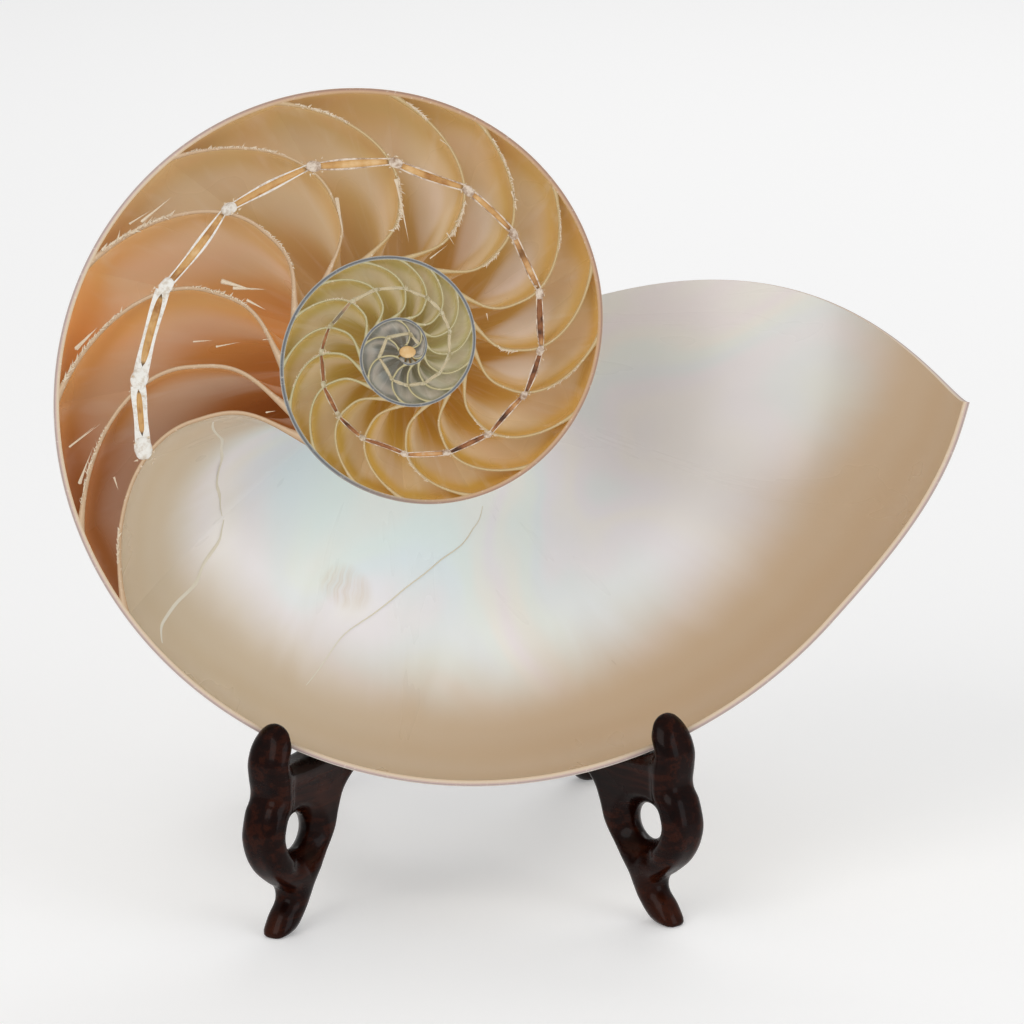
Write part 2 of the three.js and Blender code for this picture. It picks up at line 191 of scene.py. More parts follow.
# %%
def leaned(points):
    x, y, z = np.moveaxis(np.asarray(points, float), -1, 0)
    c, s = math.cos(TURN_IN_PLANE), math.sin(TURN_IN_PLANE)
    x, z = x * c + z * s, z * c - x * s
    c, s = math.cos(LEAN), math.sin(LEAN)
    return np.stack([x, y * c + z * s, z * c - y * s], -1)


def outside_point(angle, girth):
    place = angle + lip_lead(angle, girth)
    return on_spiral(place, *whorl_outline(place, girth))


sample_turns, sample_girths = np.linspace(LAST_WHORL, LIP, 721), np.linspace(0, 175, 120)
sample = leaned(outside_point(sample_turns[:, None], sample_girths[None, :]))
own_middle = (sample.min((0, 1)) + sample.max((0, 1))) / 2
node_low, node_high = (np.array(corner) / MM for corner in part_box("shell_half"))
POLE = (node_low + node_high) / 2 - own_middle
print("coiling axis in the row frame", POLE.round(2))
print("own size", (sample.max((0, 1)) - sample.min((0, 1))).round(2), "node", (node_high - node_low).round(2))


def to_row(points):
    return (leaned(points) + POLE) * MM


def placed(name, data):
    """A new object with this data, linked to the scene."""
    made = bpy.data.objects.new(name, data)
    bpy.context.scene.collection.objects.link(made)
    return made


# %% [markdown]
# ## Skins
# A skin is built from grids of points. Each grid has a material slot, and each point keeps its turn
# round the spiral and its spot, so that the materials can follow the shell.

# %%
class Skin:
    def __init__(self):
        self.points, self.spots, self.turns, self.faces, self.slots = [], [], [], [], []
        self.count = 0

    def grid(self, points, spots, turns, slot):
        rows, columns = points.shape[:2]
        self.points.append(points.reshape(-1, 3))
        self.spots.append(np.broadcast_to(spots, points.shape).reshape(-1, 3))
        self.turns.append(np.broadcast_to(turns, points.shape[:2]).reshape(-1))
        corner = np.arange(rows - 1)[:, None] * columns + np.arange(columns - 1)[None, :]
        first = self.count + corner.reshape(-1)
        self.faces.append(np.stack([first, first + columns, first + columns + 1, first + 1], -1))
        self.slots.append(np.full(len(first), slot))
        self.count += rows * columns

    def build(self, name, materials):
        faces = np.concatenate(self.faces)
        mesh = bpy.data.meshes.new(name)
        mesh.vertices.add(self.count)
        mesh.vertices.foreach_set("co", np.concatenate(self.points).astype(np.float32).ravel())
        mesh.loops.add(faces.size)
        mesh.loops.foreach_set("vertex_index", faces.astype(np.int32).ravel())
        mesh.polygons.add(len(faces))
        mesh.polygons.foreach_set("loop_start", np.arange(0, faces.size, 4, dtype=np.int32))
        mesh.polygons.foreach_set("material_index", np.concatenate(self.slots).astype(np.int32))
        mesh.polygons.foreach_set("use_smooth", np.full(len(faces), True))
        mesh.update(calc_edges=True)
        spot = mesh.attributes.new("spot", "FLOAT_VECTOR", "POINT")
        spot.data.foreach_set("vector", np.concatenate(self.spots).astype(np.float32).ravel())
        turn = mesh.attributes.new("turn", "FLOAT", "POINT")
        turn.data.foreach_set("value", np.concatenate(self.turns).astype(np.float32).ravel())
        for material in materials:
            mesh.materials.append(material)
        mesh.validate()
        print(name, len(faces) * 2, "triangles")
        return placed(name, mesh)


def spread(*arrays):
    return np.stack(np.broadcast_arrays(*[np.asarray(a, float) for a in arrays]), -1)


def dense_start(count, top, power=1.6):
    """Steps from 0 to top, closer together near 0, where the saw cut is."""
    return top * np.linspace(0, 1, count) ** power


# %% [markdown]
# ## Shader groups
# Small groups give colours and masks. Each is built by one function from a list of steps.

# %%
class Wires:
    """A short way to add nodes to a tree. Every method returns the output socket."""

    def __init__(self, tree):
        self.tree = tree

    def link(self, value, socket):
        if isinstance(value, bpy.types.NodeSocket):
            self.tree.links.new(value, socket)
        elif value is not None:
            if hasattr(value, "__len__") and len(value) == 3 and socket.type == "RGBA":
                value = (*value, 1)
            socket.default_value = value

    def math(self, kind, a, b=None, clamp=False):
        node = self.tree.nodes.new("ShaderNodeMath")
        node.operation, node.use_clamp = kind, clamp
        for value, socket in zip((a, b), node.inputs):
            self.link(value, socket)
        return node.outputs[0]

    def times(self, a, b, clamp=False):
        return self.math("MULTIPLY", a, b, clamp)

    def plus(self, a, b):
        return self.math("ADD", a, b)

    def minus(self, a, b):
        return self.math("SUBTRACT", a, b)

    def oval(self, *axes):
        """The squared distance from an oval's middle, 1 on its edge. Each axis is value, middle, half."""
        x, y = (self.math("POWER", self.math("DIVIDE", self.minus(v, middle), half), 2)
                for v, middle, half in axes)
        return self.plus(x, y)

    def split(self, vector):
        node = self.tree.nodes.new("ShaderNodeSeparateXYZ")
        self.link(vector, node.inputs[0])
        return node.outputs

    def join(self, x, y, z):
        node = self.tree.nodes.new("ShaderNodeCombineXYZ")
        for value, socket in zip((x, y, z), node.inputs):
            self.link(value, socket)
        return node.outputs[0]

    def noise(self, vector, scale, detail=2.0, rough=0.5, distortion=0.0):
        node = self.tree.nodes.new("ShaderNodeTexNoise")
        for name, value in (("Vector", vector), ("Scale", scale), ("Detail", detail), ("Roughness", rough),
                            ("Distortion", distortion)):
            self.link(value, node.inputs[name])
        return node.outputs["Fac"]

    def smooth(self, value, low, high, out_low=0.0, out_high=1.0):
        node = self.tree.nodes.new("ShaderNodeMapRange")
        node.interpolation_type = "SMOOTHSTEP"
        for name, given in (("Value", value), ("From Min", low), ("From Max", high), ("To Min", out_low),
                            ("To Max", out_high)):
            self.link(given, node.inputs[name])
        return node.outputs["Result"]

    def mix(self, factor, a, b, blend="MIX"):
        node = self.tree.nodes.new("ShaderNodeMix")
        node.data_type, node.blend_type = "RGBA", blend
        node.clamp_factor = True
        self.link(factor, node.inputs["Factor"])
        self.link(a, node.inputs[6])
        self.link(b, node.inputs[7])
        return node.outputs[2]

    def ramp(self, factor, stops, kind="EASE"):
        node = self.tree.nodes.new("ShaderNodeValToRGB")
        node.color_ramp.interpolation = kind
        elements = node.color_ramp.elements
        while len(elements) < len(stops):
            elements.new(0.5)
        for element, (place, colour) in zip(elements, stops):
            element.position = place
            element.color = (*colour, 1)
        self.link(factor, node.inputs[0])
        return node.outputs[0]

    def attribute(self, name, vector=True):
        node = self.tree.nodes.new("ShaderNodeAttribute")
        node.attribute_name = name
        return node.outputs["Vector" if vector else "Fac"]

    def spot_and_turn(self):
        """The spot's three parts, and the turn round the spiral."""
        return self.split(self.attribute("spot")), self.attribute("turn", vector=False)

    def object_place(self):
        return self.tree.nodes.new("ShaderNodeTexCoord").outputs["Object"]

    def group(self, tree, **inputs):
        node = self.tree.nodes.new("ShaderNodeGroup")
        node.node_tree = tree
        for name, value in inputs.items():
            self.link(value, node.inputs[name.replace("_", " ")])
        return node.outputs


def new_group(name, inputs, outputs, fill):
    tree = bpy.data.node_groups.new(name, "ShaderNodeTree")
    kinds = {"f": "NodeSocketFloat", "c": "NodeSocketColor", "v": "NodeSocketVector"}
    for title, kind in inputs:
        tree.interface.new_socket(title, in_out="INPUT", socket_type=kinds[kind])
    for title, kind in outputs:
        tree.interface.new_socket(title, in_out="OUTPUT", socket_type=kinds[kind])
    entry, result = tree.nodes.new("NodeGroupInput"), tree.nodes.new("NodeGroupOutput")
    given = {title: entry.outputs[title] for title, _ in inputs}
    wires = Wires(tree)
    for title, socket in fill(wires, given).items():
        wires.link(socket, result.inputs[title])
    return tree


def new_material(name, fill, **constants):
    """A Principled material. Fill gives the sockets that vary, and constants stay on the shader."""
    material = bpy.data.materials.new(name)
    material.use_nodes = True
    tree = material.node_tree
    tree.nodes.clear()
    output = tree.nodes.new("ShaderNodeOutputMaterial")
    shader = tree.nodes.new("ShaderNodeBsdfPrincipled")
    tree.links.new(shader.outputs[0], output.inputs[0])
    wires = Wires(tree)
    for title, value in constants.items():
        wires.link(value, shader.inputs[title.replace("_", " ")])
    for title, socket in fill(wires).items():
        if title == "Bump":
            height, strength, distance = socket
            bump = tree.nodes.new("ShaderNodeBump")
            wires.link(height, bump.inputs["Height"])
            bump.inputs["Strength"].default_value = strength
            bump.inputs["Distance"].default_value = distance
            tree.links.new(bump.outputs[0], shader.inputs["Normal"])
        else:
            wires.link(socket, shader.inputs[title])
    return material


# %% [markdown]
# The growth group gives fine lines across the direction of growth, and soft clouds that are drawn
# out along it. Nacre takes its faint pink, yellow, green and blue from the sheen group.

# %%
def fill_growth(w, given):
    turn, spot = given["Turn"], w.split(given["Spot"])
    wobble = w.noise(w.join(w.times(turn, 4), spot[1], w.times(spot[2], 3)), 3.0, 3, 0.6)
    shifted = w.plus(w.times(turn, 260), w.times(wobble, 7))
    lines = w.noise(w.join(shifted, w.times(spot[2], 2), 0.0), 1.0, 3, 0.7)
    drawn = w.join(w.times(turn, 26), w.times(spot[2], 2.5), spot[1])
    clouds = w.noise(drawn, 1.0, 3, 0.55, 0.6)
    return {"Lines": lines, "Clouds": clouds}


growth = new_group("Growth", [("Turn", "f"), ("Spot", "v")], [("Lines", "f"), ("Clouds", "f")], fill_growth)


def fill_sheen(w, given):
    warped = w.noise(given["Place"], 20, 2, 0.5, 0.6)
    phase = w.plus(w.times(given["Turn"], 8), w.times(warped, 3.4))
    phase = w.math("PINGPONG", phase, 1.0)
    hue = w.ramp(phase, [(0.0, (1.0, 0.86, 0.90)), (0.22, (1.0, 0.97, 0.84)), (0.42, (0.86, 1.0, 0.92)),
                         (0.62, (0.80, 0.93, 1.0)), (0.82, (0.94, 0.88, 1.0)), (1.0, (1.0, 0.93, 0.90))])
    return {"Color": w.mix(given["Amount"], (1, 1, 1), hue)}


sheen = new_group("Sheen", [("Turn", "f"), ("Place", "v"), ("Amount", "f")], [("Color", "c")], fill_sheen)

# %% [markdown]
# ## Shell materials
# The living chamber is bright nacre. It turns tan towards the outer wall and towards the lip.

# %%
def living_nacre(w):
    spot, turn = w.spot_and_turn()
    place = w.object_place()
    grown = w.group(growth, Turn=turn, Spot=w.attribute("spot"))
    shake = w.times(w.minus(grown["Clouds"], 0.5), 0.06)
    mouth = w.smooth(turn, 0.94, 1.02, 0.0, 0.05)
    girth = w.plus(w.plus(spot[2], shake), mouth)
    tan = w.smooth(girth, 0.20, 0.37, 1.0, 0.0)
    stain = w.smooth(w.oval((turn, 0.712, 1 / 60), (spot[2], 0.405, 1 / 34)), 1.6, 0.0)
    stain = w.times(stain, w.smooth(grown["Lines"], 0.3, 0.7, 0.1, 0.5))
    tan = w.math("MAXIMUM", tan, stain)
    cool = w.smooth(girth, 0.36, 0.50)
    cool = w.times(cool, w.smooth(turn, 0.93, 0.76))
    pearl = w.mix(w.smooth(grown["Clouds"], 0.35, 0.7), (0.93, 0.925, 0.89), (0.96, 0.955, 0.94))
    pearl = w.mix(cool, pearl, (0.88, 0.965, 0.99))
    pearl = w.mix(w.smooth(turn, 0.86, 0.96), pearl, (0.74, 0.71, 0.67))
    warm = w.mix(w.smooth(turn, 0.62, 0.84), (0.65, 0.53, 0.375), (0.625, 0.45, 0.285))
    warm = w.mix(w.smooth(girth, 0.13, 0.20), w.mix(1.0, warm, (0.97, 0.92, 0.84), "MULTIPLY"), warm)
    colour = w.mix(tan, pearl, warm)
    rainbow = w.group(sheen, Turn=turn, Place=place, Amount=w.times(w.minus(1.0, tan), 0.36))
    colour = w.mix(1.0, colour, rainbow["Color"], "MULTIPLY")
    rough = w.smooth(grown["Clouds"], 0.3, 0.75, 0.26, 0.36)
    return {"Base Color": colour, "Roughness": rough}


def ridge_cream(w):
    along = w.noise(w.object_place(), 90, 2, 0.5)
    return {"Base Color": w.mix(along, (0.74, 0.66, 0.50), (0.86, 0.83, 0.74)), "Roughness": 0.4}


def chamber_nacre(w):
    """Light comes through the thin wall, so the hollow is given a faint painted glow: its colour also feeds
    the emission.
    """
    spot, turn = w.spot_and_turn()
    along, up, deep = spot
    place = w.object_place()
    whorl = w.ramp(w.math("DIVIDE", w.plus(turn, 1.8), 2.4), [
        (0.0, (0.25, 0.24, 0.205)), (0.208, (0.265, 0.265, 0.23)), (0.30, (0.40, 0.375, 0.235)),
        (0.333, (0.50, 0.45, 0.23)), (0.438, (0.53, 0.44, 0.18)), (0.54, (0.56, 0.42, 0.13)),
        (0.625, (0.58, 0.375, 0.08)), (0.708, (0.61, 0.365, 0.085)), (0.79, (0.62, 0.41, 0.135)),
        (0.875, (0.64, 0.455, 0.215)), (0.925, (0.635, 0.445, 0.22)), (0.954, (0.77, 0.42, 0.145)),
        (0.98, (0.47, 0.195, 0.055))], "LINEAR")
    drift = w.noise(w.join(w.times(turn, 16), w.times(up, 0.9), w.times(deep, 3)), 1.0, 1, 0.4, 0.3)
    streaks = w.noise(w.join(w.times(turn, 90), w.times(up, 1.2), w.times(deep, 5)), 1.0, 2, 0.5, 0.3)
    band = w.math("ABSOLUTE", w.minus(w.plus(deep, w.times(drift, 0.22)), 0.35))
    band = w.smooth(band, 0.02, 0.15, 0.85, 0.0)
    pale = w.mix(0.55, whorl, (0.79, 0.69, 0.57))
    colour = w.mix(band, whorl, pale)
    # Painted shade: the colour turns brown deep in each hollow and near the sawn face under each septum's
    # edge.
    brown = w.mix(1.0, whorl, (0.88, 0.74, 0.58), "MULTIPLY")
    painted_shade = w.plus(w.smooth(deep, 0.33, 0.50, 0.0, 0.8), w.smooth(deep, 0.03, 0.15, 0.6, 0.0))
    painted_shade = w.times(painted_shade, w.smooth(drift, 0.25, 0.6, 1.2, 0.55), clamp=True)
    colour = w.mix(painted_shade, colour, brown)
    colour = w.mix(w.smooth(streaks, 0.5, 0.75, 0.0, 0.16), colour, (0.84, 0.78, 0.70))
    # Painted reflection: pale gleaming patches deep inside some chambers of the outer whorl.
    pearl = w.smooth(w.oval((up, 0.68, 0.27), (deep, 0.31, 0.12)), 1.25, 0.15, 0.0, 0.8)
    pearl = w.times(pearl, w.smooth(along, 0.02, 0.3, 1.0, 0.0))
    pearl = w.times(pearl, w.times(w.smooth(turn, -0.09, -0.01), w.smooth(turn, 0.29, 0.20)))
    colour = w.mix(pearl, colour, (0.83, 0.74, 0.67))
    rainbow = w.group(sheen, Turn=w.times(turn, 1.6), Place=place, Amount=0.16)
    colour = w.mix(1.0, colour, rainbow["Color"], "MULTIPLY")
    rough = w.smooth(drift, 0.3, 0.7, 0.34, 0.24)
    # The emission colour is a painted glow for light through the thin wall.
    return {"Base Color": colour, "Emission Color": colour, "Roughness": rough}


def outside_shell(w):
    spot, turn = w.spot_and_turn()
    girth = spot[2]
    grown = w.group(growth, Turn=turn, Spot=w.attribute("spot"))
    wave = w.noise(w.join(w.times(turn, 5), w.times(girth, 9), 0.0), 1.4, 1.5, 0.45, 0.3)
    lean = w.plus(w.times(turn, 17), w.times(girth, -2.2))
    band = w.math("SINE", w.times(w.plus(lean, w.times(wave, 1.7)), 2 * math.pi))
    width = w.smooth(girth, 0.05, 0.62, -0.15, 0.95)
    older = w.smooth(turn, 0.36, 0.56, 0.0, 1.6)
    stripe = w.smooth(w.minus(w.minus(band, width), older), -0.12, 0.16)
    cream = w.mix(w.smooth(grown["Clouds"], 0.3, 0.7), (0.74, 0.64, 0.50), (0.82, 0.74, 0.62))
    brown = w.mix(grown["Lines"], (0.30, 0.085, 0.025), (0.44, 0.16, 0.06))
    colour = w.mix(stripe, cream, brown)
    return {"Base Color": colour, "Roughness": w.smooth(grown["Clouds"], 0.3, 0.7, 0.34, 0.46),
            "Bump": (grown["Lines"], 0.25, 0.00025)}


def cut_rim(w):
    """Across the wall: pale nacre inside, then a mauve line, then the white outer layer."""
    spot, turn = w.spot_and_turn()
    place = w.object_place()
    outer = w.ramp(spot[1], [
        (0.0, (0.66, 0.50, 0.33)), (0.35, (0.74, 0.60, 0.45)), (0.62, (0.62, 0.46, 0.40)),
        (0.8, (0.40, 0.30, 0.29)), (0.93, (0.62, 0.54, 0.48)), (1.0, (0.72, 0.64, 0.55))])
    inner = w.ramp(spot[1], [
        (0.0, (0.46, 0.44, 0.35)), (0.3, (0.23, 0.235, 0.235)), (0.55, (0.105, 0.11, 0.12)),
        (0.8, (0.25, 0.255, 0.26)), (1.0, (0.52, 0.48, 0.40))])
    outer = w.mix(w.smooth(turn, 0.42, 0.28), outer, w.mix(1.0, outer, (0.80, 0.64, 0.50), "MULTIPLY"))
    colour = w.mix(w.smooth(turn, -0.36, -0.16), inner, outer)
    speck = w.noise(place, 1500, 3, 0.7)
    colour = w.mix(w.smooth(speck, 0.58, 0.84), colour, (0.84, 0.76, 0.66))
    return {"Base Color": colour, "Roughness": 0.5, "Bump": (speck, 0.3, 0.0002)}


def cut_septum(w):
    spot, turn = w.spot_and_turn()
    place = w.object_place()
    near = w.ramp(spot[0], [
        (0.0, (0.44, 0.27, 0.145)), (0.35, (0.66, 0.47, 0.30)), (0.7, (0.56, 0.38, 0.23)),
        (1.0, (0.40, 0.24, 0.125))])
    early = w.ramp(spot[0], [
        (0.0, (0.34, 0.29, 0.13)), (0.5, (0.56, 0.49, 0.28)), (1.0, (0.34, 0.29, 0.13))])
    middle = w.ramp(spot[0], [
        (0.0, (0.42, 0.28, 0.12)), (0.5, (0.62, 0.46, 0.24)), (1.0, (0.42, 0.28, 0.12))])
    colour = w.mix(w.smooth(turn, -0.45, -0.30), early, w.mix(w.smooth(turn, 0.26, 0.38), middle, near))
    speck = w.noise(place, 1100, 4, 0.75)
    colour = w.mix(w.smooth(speck, 0.56, 0.76), colour, (0.80, 0.66, 0.50))
    return {"Base Color": colour, "Roughness": 0.45, "Bump": (speck, 0.4, 0.0003)}


def chalk(w):
    """White at the newest necks, then mauve and brown, then straw yellow in the small whorls."""
    turn, place = w.attribute("turn", vector=False), w.object_place()
    speck = w.noise(place, 700, 4, 0.7)
    new = w.mix(w.smooth(speck, 0.30, 0.56), (0.66, 0.58, 0.48), (0.88, 0.86, 0.80))
    middle = w.mix(w.smooth(speck, 0.34, 0.62), (0.34, 0.21, 0.13), (0.76, 0.64, 0.52))
    old = w.mix(w.smooth(speck, 0.34, 0.62), (0.34, 0.27, 0.13), (0.60, 0.53, 0.36))
    colour = w.mix(w.smooth(turn, 0.30, 0.44), w.mix(w.smooth(turn, -0.45, -0.25), old, middle), new)
    return {"Base Color": colour, "Roughness": 0.7, "Bump": (speck, 0.35, 0.0003)}


def crumb(w):
    speck = w.noise(w.object_place(), 300, 2, 0.6)
    return {"Base Color": w.mix(speck, (0.66, 0.50, 0.33), (0.86, 0.76, 0.60)), "Roughness": 0.6}


def dried_tube(w):
    """The inside of the siphuncle: dried amber tissue, dark next to the necks."""
    spot, turn = w.spot_and_turn()
    clouds = w.noise(w.object_place(), 260, 3, 0.6)
    amber = w.ramp(clouds, [(0.3, (0.46, 0.22, 0.07)), (0.5, (0.70, 0.43, 0.17)), (0.7, (0.82, 0.58, 0.30))])
    old = w.ramp(clouds, [(0.32, (0.08, 0.03, 0.015)), (0.48, (0.36, 0.14, 0.05)), (0.62, (0.66, 0.36, 0.14)),
                          (0.75, (0.70, 0.56, 0.38))])
    colour = w.mix(w.smooth(turn, 0.05, 0.22), old, amber)
    colour = w.mix(w.smooth(turn, -0.62, -0.50, 0.85, 0.0), colour, (0.68, 0.61, 0.42))
    gap = w.math("ABSOLUTE", w.minus(spot[0], 0.5))
    colour = w.mix(w.smooth(gap, 0.42, 0.50), colour, (0.06, 0.04, 0.03))
    return {"Base Color": colour, "Roughness": 0.45, "Bump": (clouds, 0.3, 0.0003)}


materials = {
    "living": new_material("Living chamber nacre", living_nacre, Coat_Weight=0.35, Coat_Roughness=0.18,
                           Specular_IOR_Level=0.6),
    # The chamber nacre's emission strength sets its painted glow for light through the wall.
    "chamber": new_material("Chamber nacre", chamber_nacre, Coat_Weight=0.25, Coat_Roughness=0.15,
                            Specular_IOR_Level=0.6, Emission_Strength=0.16),
    "ridge": new_material("Cream ridge", ridge_cream, Coat_Weight=0.3, Coat_Roughness=0.2),
    "outside": new_material("Shell outside", outside_shell, Coat_Weight=0.15, Coat_Roughness=0.3),
    "rim": new_material("Sawn wall", cut_rim, Specular_IOR_Level=0.4),
    "septum": new_material("Sawn septum", cut_septum, Specular_IOR_Level=0.4),
    "chalk": new_material("Chalk", chalk, Specular_IOR_Level=0.3),
    "crumb": new_material("Cream crumbs", crumb, Specular_IOR_Level=0.3),
    "tube": new_material("Dried tube", dried_tube, Specular_IOR_Level=0.4),
}
print("shell materials:", ", ".join(materials))

# %% [markdown]
# ## The chambers
# Each hollow between two septa is a block with five inward-facing skins. The saw cut is its open side.

# %%
def chamber_grids(skin, newer, older):
    size = spiral_radius(newer)
    fine = (1.0 if size > 30 else 0.7 if size > 12 else 0.5) * 1.0
    along = np.linspace(0, 1, max(4, int(10 * fine)))
    up = 0.5 - 0.5 * np.cos(np.pi * np.linspace(0, 1, max(8, int(34 * fine))))
    deep = dense_start(max(8, int(26 * fine)), 158)

    def points(a, u, g):
        start, end = septum_face(older, u, g, 1), septum_face(newer, u, g, -1)
        angle = start + (end - start) * a
        return to_row(hollow_point(angle, u, g)), angle / 360

    def add(a, u, g, slot=0):
        place, turn = points(a, u, g)
        skin.grid(place, spread(a, u, g / 180), turn, slot)

    add(along[:, None], 1.0, deep[None, :])
    add(along[None, :], 0.0, deep[:, None])
    add(0.0, up[:, None], deep[None, :])
    add(1.0, up[None, :], deep[:, None])
    add(along[None, :], up[:, None], deep[-1])


chambers = Skin()
for newer, older in zip(NECKS[:-1], NECKS[1:]):
    chamber_grids(chambers, newer, older)
shell_chambers = chambers.build("shell_chambers", [materials["chamber"]])

# %% [markdown]
# ## The living chamber
# It runs from the last septum to the lip. Its floor is the older whorl.

# %%
living = Skin()
along = np.linspace(0, 1, int(220 * detail))
up = 0.5 - 0.5 * np.cos(np.pi * np.linspace(0, 1, int(50 * detail)))
deep = dense_start(int(80 * detail), 165, 1.4)


def living_point(a, u, g):
    start = septum_face(FIRST_NECK, u, g, 1)
    end = LIP + lip_lead(LIP, g)
    angle = start + (end - start) * a
    floor, roof = whorl_outline(angle - 360, g), whorl_outline(angle, g, wall_thickness(angle))
    place = on_spiral(angle, floor[0] + (roof[0] - floor[0]) * u, floor[1] + (roof[1] - floor[1]) * u)
    return to_row(place), angle / 360


for a, u, g in ((along[:, None], 1.0, deep[None, :]), (along[None, :], 0.0, deep[:, None]),
                (0.0, up[:, None], deep[None, :]), (along[None, :], up[:, None], deep[-1])):
    place, turn = living_point(a, u, g)
    living.grid(place, spread(a, u, g / 180), turn, 0)
shell_living = living.build("shell_living_chamber", [materials["living"]])

# %% [markdown]
# Two faint cream ridges cross the living chamber. Each follows a few turn and girth values on the
# outer wall, and the first begins on the last septum.

# %%
RIDGE_ON_SEPTUM = [(0.34, 16), (0.47, 45), (0.66, 58), (0.83, 62.5), (0.92, 66), (0.995, 67)]
RIDGES_ON_WALL = [
    [(222.6, 67), (225.4, 62.5), (226.2, 54), (227.8, 48), (227.4, 37), (228, 23), (230, 13)],
    [(298.4, 96), (295.3, 92), (288, 87), (280.7, 84), (271, 77), (265.5, 71), (257.5, 61), (253.5, 41)],
]


def ridge_line(stops, count=60):
    stops = np.asarray(stops, float)
    where = np.linspace(0, len(stops) - 1, count)
    line = np.stack([np.interp(where, np.arange(len(stops)), stops[:, n]) for n in (0, 1)], -1)
    for _ in range(6):
        line[1:-1] = (line[:-2] + 2 * line[1:-1] + line[2:]) / 4
    return line[:, 0], line[:, 1]


def add_ridge(skin, place, lifted, half_width, height):
    way = np.gradient(place, axis=0)
    rise = lifted - place
    rise = rise / np.linalg.norm(rise, axis=-1, keepdims=True)
    side = np.cross(way, rise)
    side = side / np.linalg.norm(side, axis=-1, keepdims=True)
    taper = np.sin(np.pi * np.linspace(0.04, 0.96, len(place)))[:, None] ** 0.4
    rows = [place + side * half_width * taper * x + rise * height * taper * y
            for x, y in ((-1, 0.0), (-0.5, 0.7), (0, 1), (0.5, 0.7), (1, 0.0))]
    skin.grid(to_row(np.stack(rows, 0)), spread(0, 0, np.zeros((5, len(place)))), 0.6, 0)


ridges = Skin()
u, g = ridge_line(RIDGE_ON_SEPTUM)
front = septum_face(FIRST_NECK, u, g, 1)
add_ridge(ridges, hollow_point(front, u, g), hollow_point(front + 1, u, g), 0.35, 0.10)
for (a, g), half_width in zip((ridge_line(stops) for stops in RIDGES_ON_WALL), (0.38, 0.22)):
    add_ridge(ridges, hollow_point(a, 1.0, g), hollow_point(a, 0.98, g), half_width, 0.10)
shell_ridges = ridges.build("shell_ridges", [materials["ridge"]])

# %% [markdown]
# ## The outside, the lip and the sawn edges
# The wall's edge on the sawn face is one long spiral strip, and each septum shows its own thin edge.

# %%
outer = Skin()
turns = np.linspace(LAST_WHORL, LIP, int(300 * detail))
girths = dense_start(int(90 * detail), 176, 1.25)
place = to_row(outside_point(turns[None, :], girths[:, None]))
angle = turns[None, :] + lip_lead(turns[None, :], girths[:, None])
outer.grid(place, spread(0.0, 1.0, girths[:, None] / 180), angle / 360, 0)

layers = np.linspace(0, 1, 4)
lip_angle = LIP + lip_lead(LIP, girths)[None, :]
lip_inset = (1 - layers[:, None]) * wall_thickness(lip_angle)
lip = on_spiral(lip_angle, *whorl_outline(lip_angle, girths[None, :], lip_inset))
outer.grid(to_row(lip), spread(0.0, layers[:, None], girths[None, :] / 180), lip_angle / 360, 1)
shell_outside = outer.build("shell_outside", [materials["outside"], materials["rim"]])

edges = Skin()
spiral = np.linspace(-830, LIP, int(1500 * detail))
layers = np.linspace(0, 1, 5)
radius = spiral_radius(spiral)[None, :] - (1 - layers[:, None]) * wall_thickness(spiral)[None, :]
strip = on_spiral(spiral[None, :], radius, 0.0)
edges.grid(to_row(strip), spread(0.0, layers[:, None], 0.0), spiral[None, :] / 360, 0)
share = 0.5 - 0.5 * np.cos(np.pi * np.linspace(0, 1, int(64 * detail)))
for neck in NECKS:
    back, front = septum_face(neck, share, 0.0, -1), septum_face(neck, share, 0.0, 1)
    across = np.linspace(0, 1, 4)
    angle = back[:, None] + (front - back)[:, None] * across[None, :]
    strip = hollow_point(angle, share[:, None], 0.0)
    edges.grid(to_row(strip), spread(across[None, :], share[:, None], 0.0), angle / 360, 1)
shell_edges = edges.build("shell_sawn_edges", [materials["rim"], materials["septum"]])

# %% [markdown]
# ## The siphuncle
# The saw opened the tube too. Between two necks it is a half pipe with chalky edges and dried tissue
# inside. In the two newest parts the saw met only a slot. A round chalky bead closes each neck.

# %%
INTO_SHELL = np.array([0.0, 1.0, 0.0])


def half_pipe(start, end, inner, wall, bend, steps, sides=10):
    """Inside and outside of a trough from start to end, open towards the viewer."""
    line = end - start
    ahead = line / np.linalg.norm(line)
    side = np.array([-ahead[2], 0.0, ahead[0]])
    s = np.linspace(0, 1, steps)
    around = np.linspace(0, np.pi, sides)
    centre = start + s[:, None] * line + side * (bend * np.sin(np.pi * s))[:, None]
    arc = np.cos(around)[:, None] * side + np.sin(around)[:, None] * INTO_SHELL
    inside = centre[:, None] + inner(s)[:, None, None] * arc
    outside = centre[:, None] + (inner(s) + wall(s))[:, None, None] * arc
    return inside, outside, spread(s[:, None], around[None, :] / np.pi, 0.0)


def add_trough(skin, inside, outside, spots, turn):
    inside, outside, spots = inside[::-1], outside[::-1], spots[::-1]
    skin.grid(to_row(inside), spots, turn, 0)
    skin.grid(to_row(outside[:, ::-1]), spots, turn, 1)
    first = np.stack([outside[:, 0], inside[:, 0]], 1)
    last = np.stack([inside[:, -1], outside[:, -1]], 1)
    for rim in (first, last):
        skin.grid(to_row(rim), np.stack([spots[:, 0]] * 2, 1), turn, 1)
    for k in (0, -1):
        end = np.stack([inside[k], outside[k]], 0)
        skin.grid(to_row(end if k else end[::-1]), np.stack([spots[k]] * 2, 0), turn, 1)


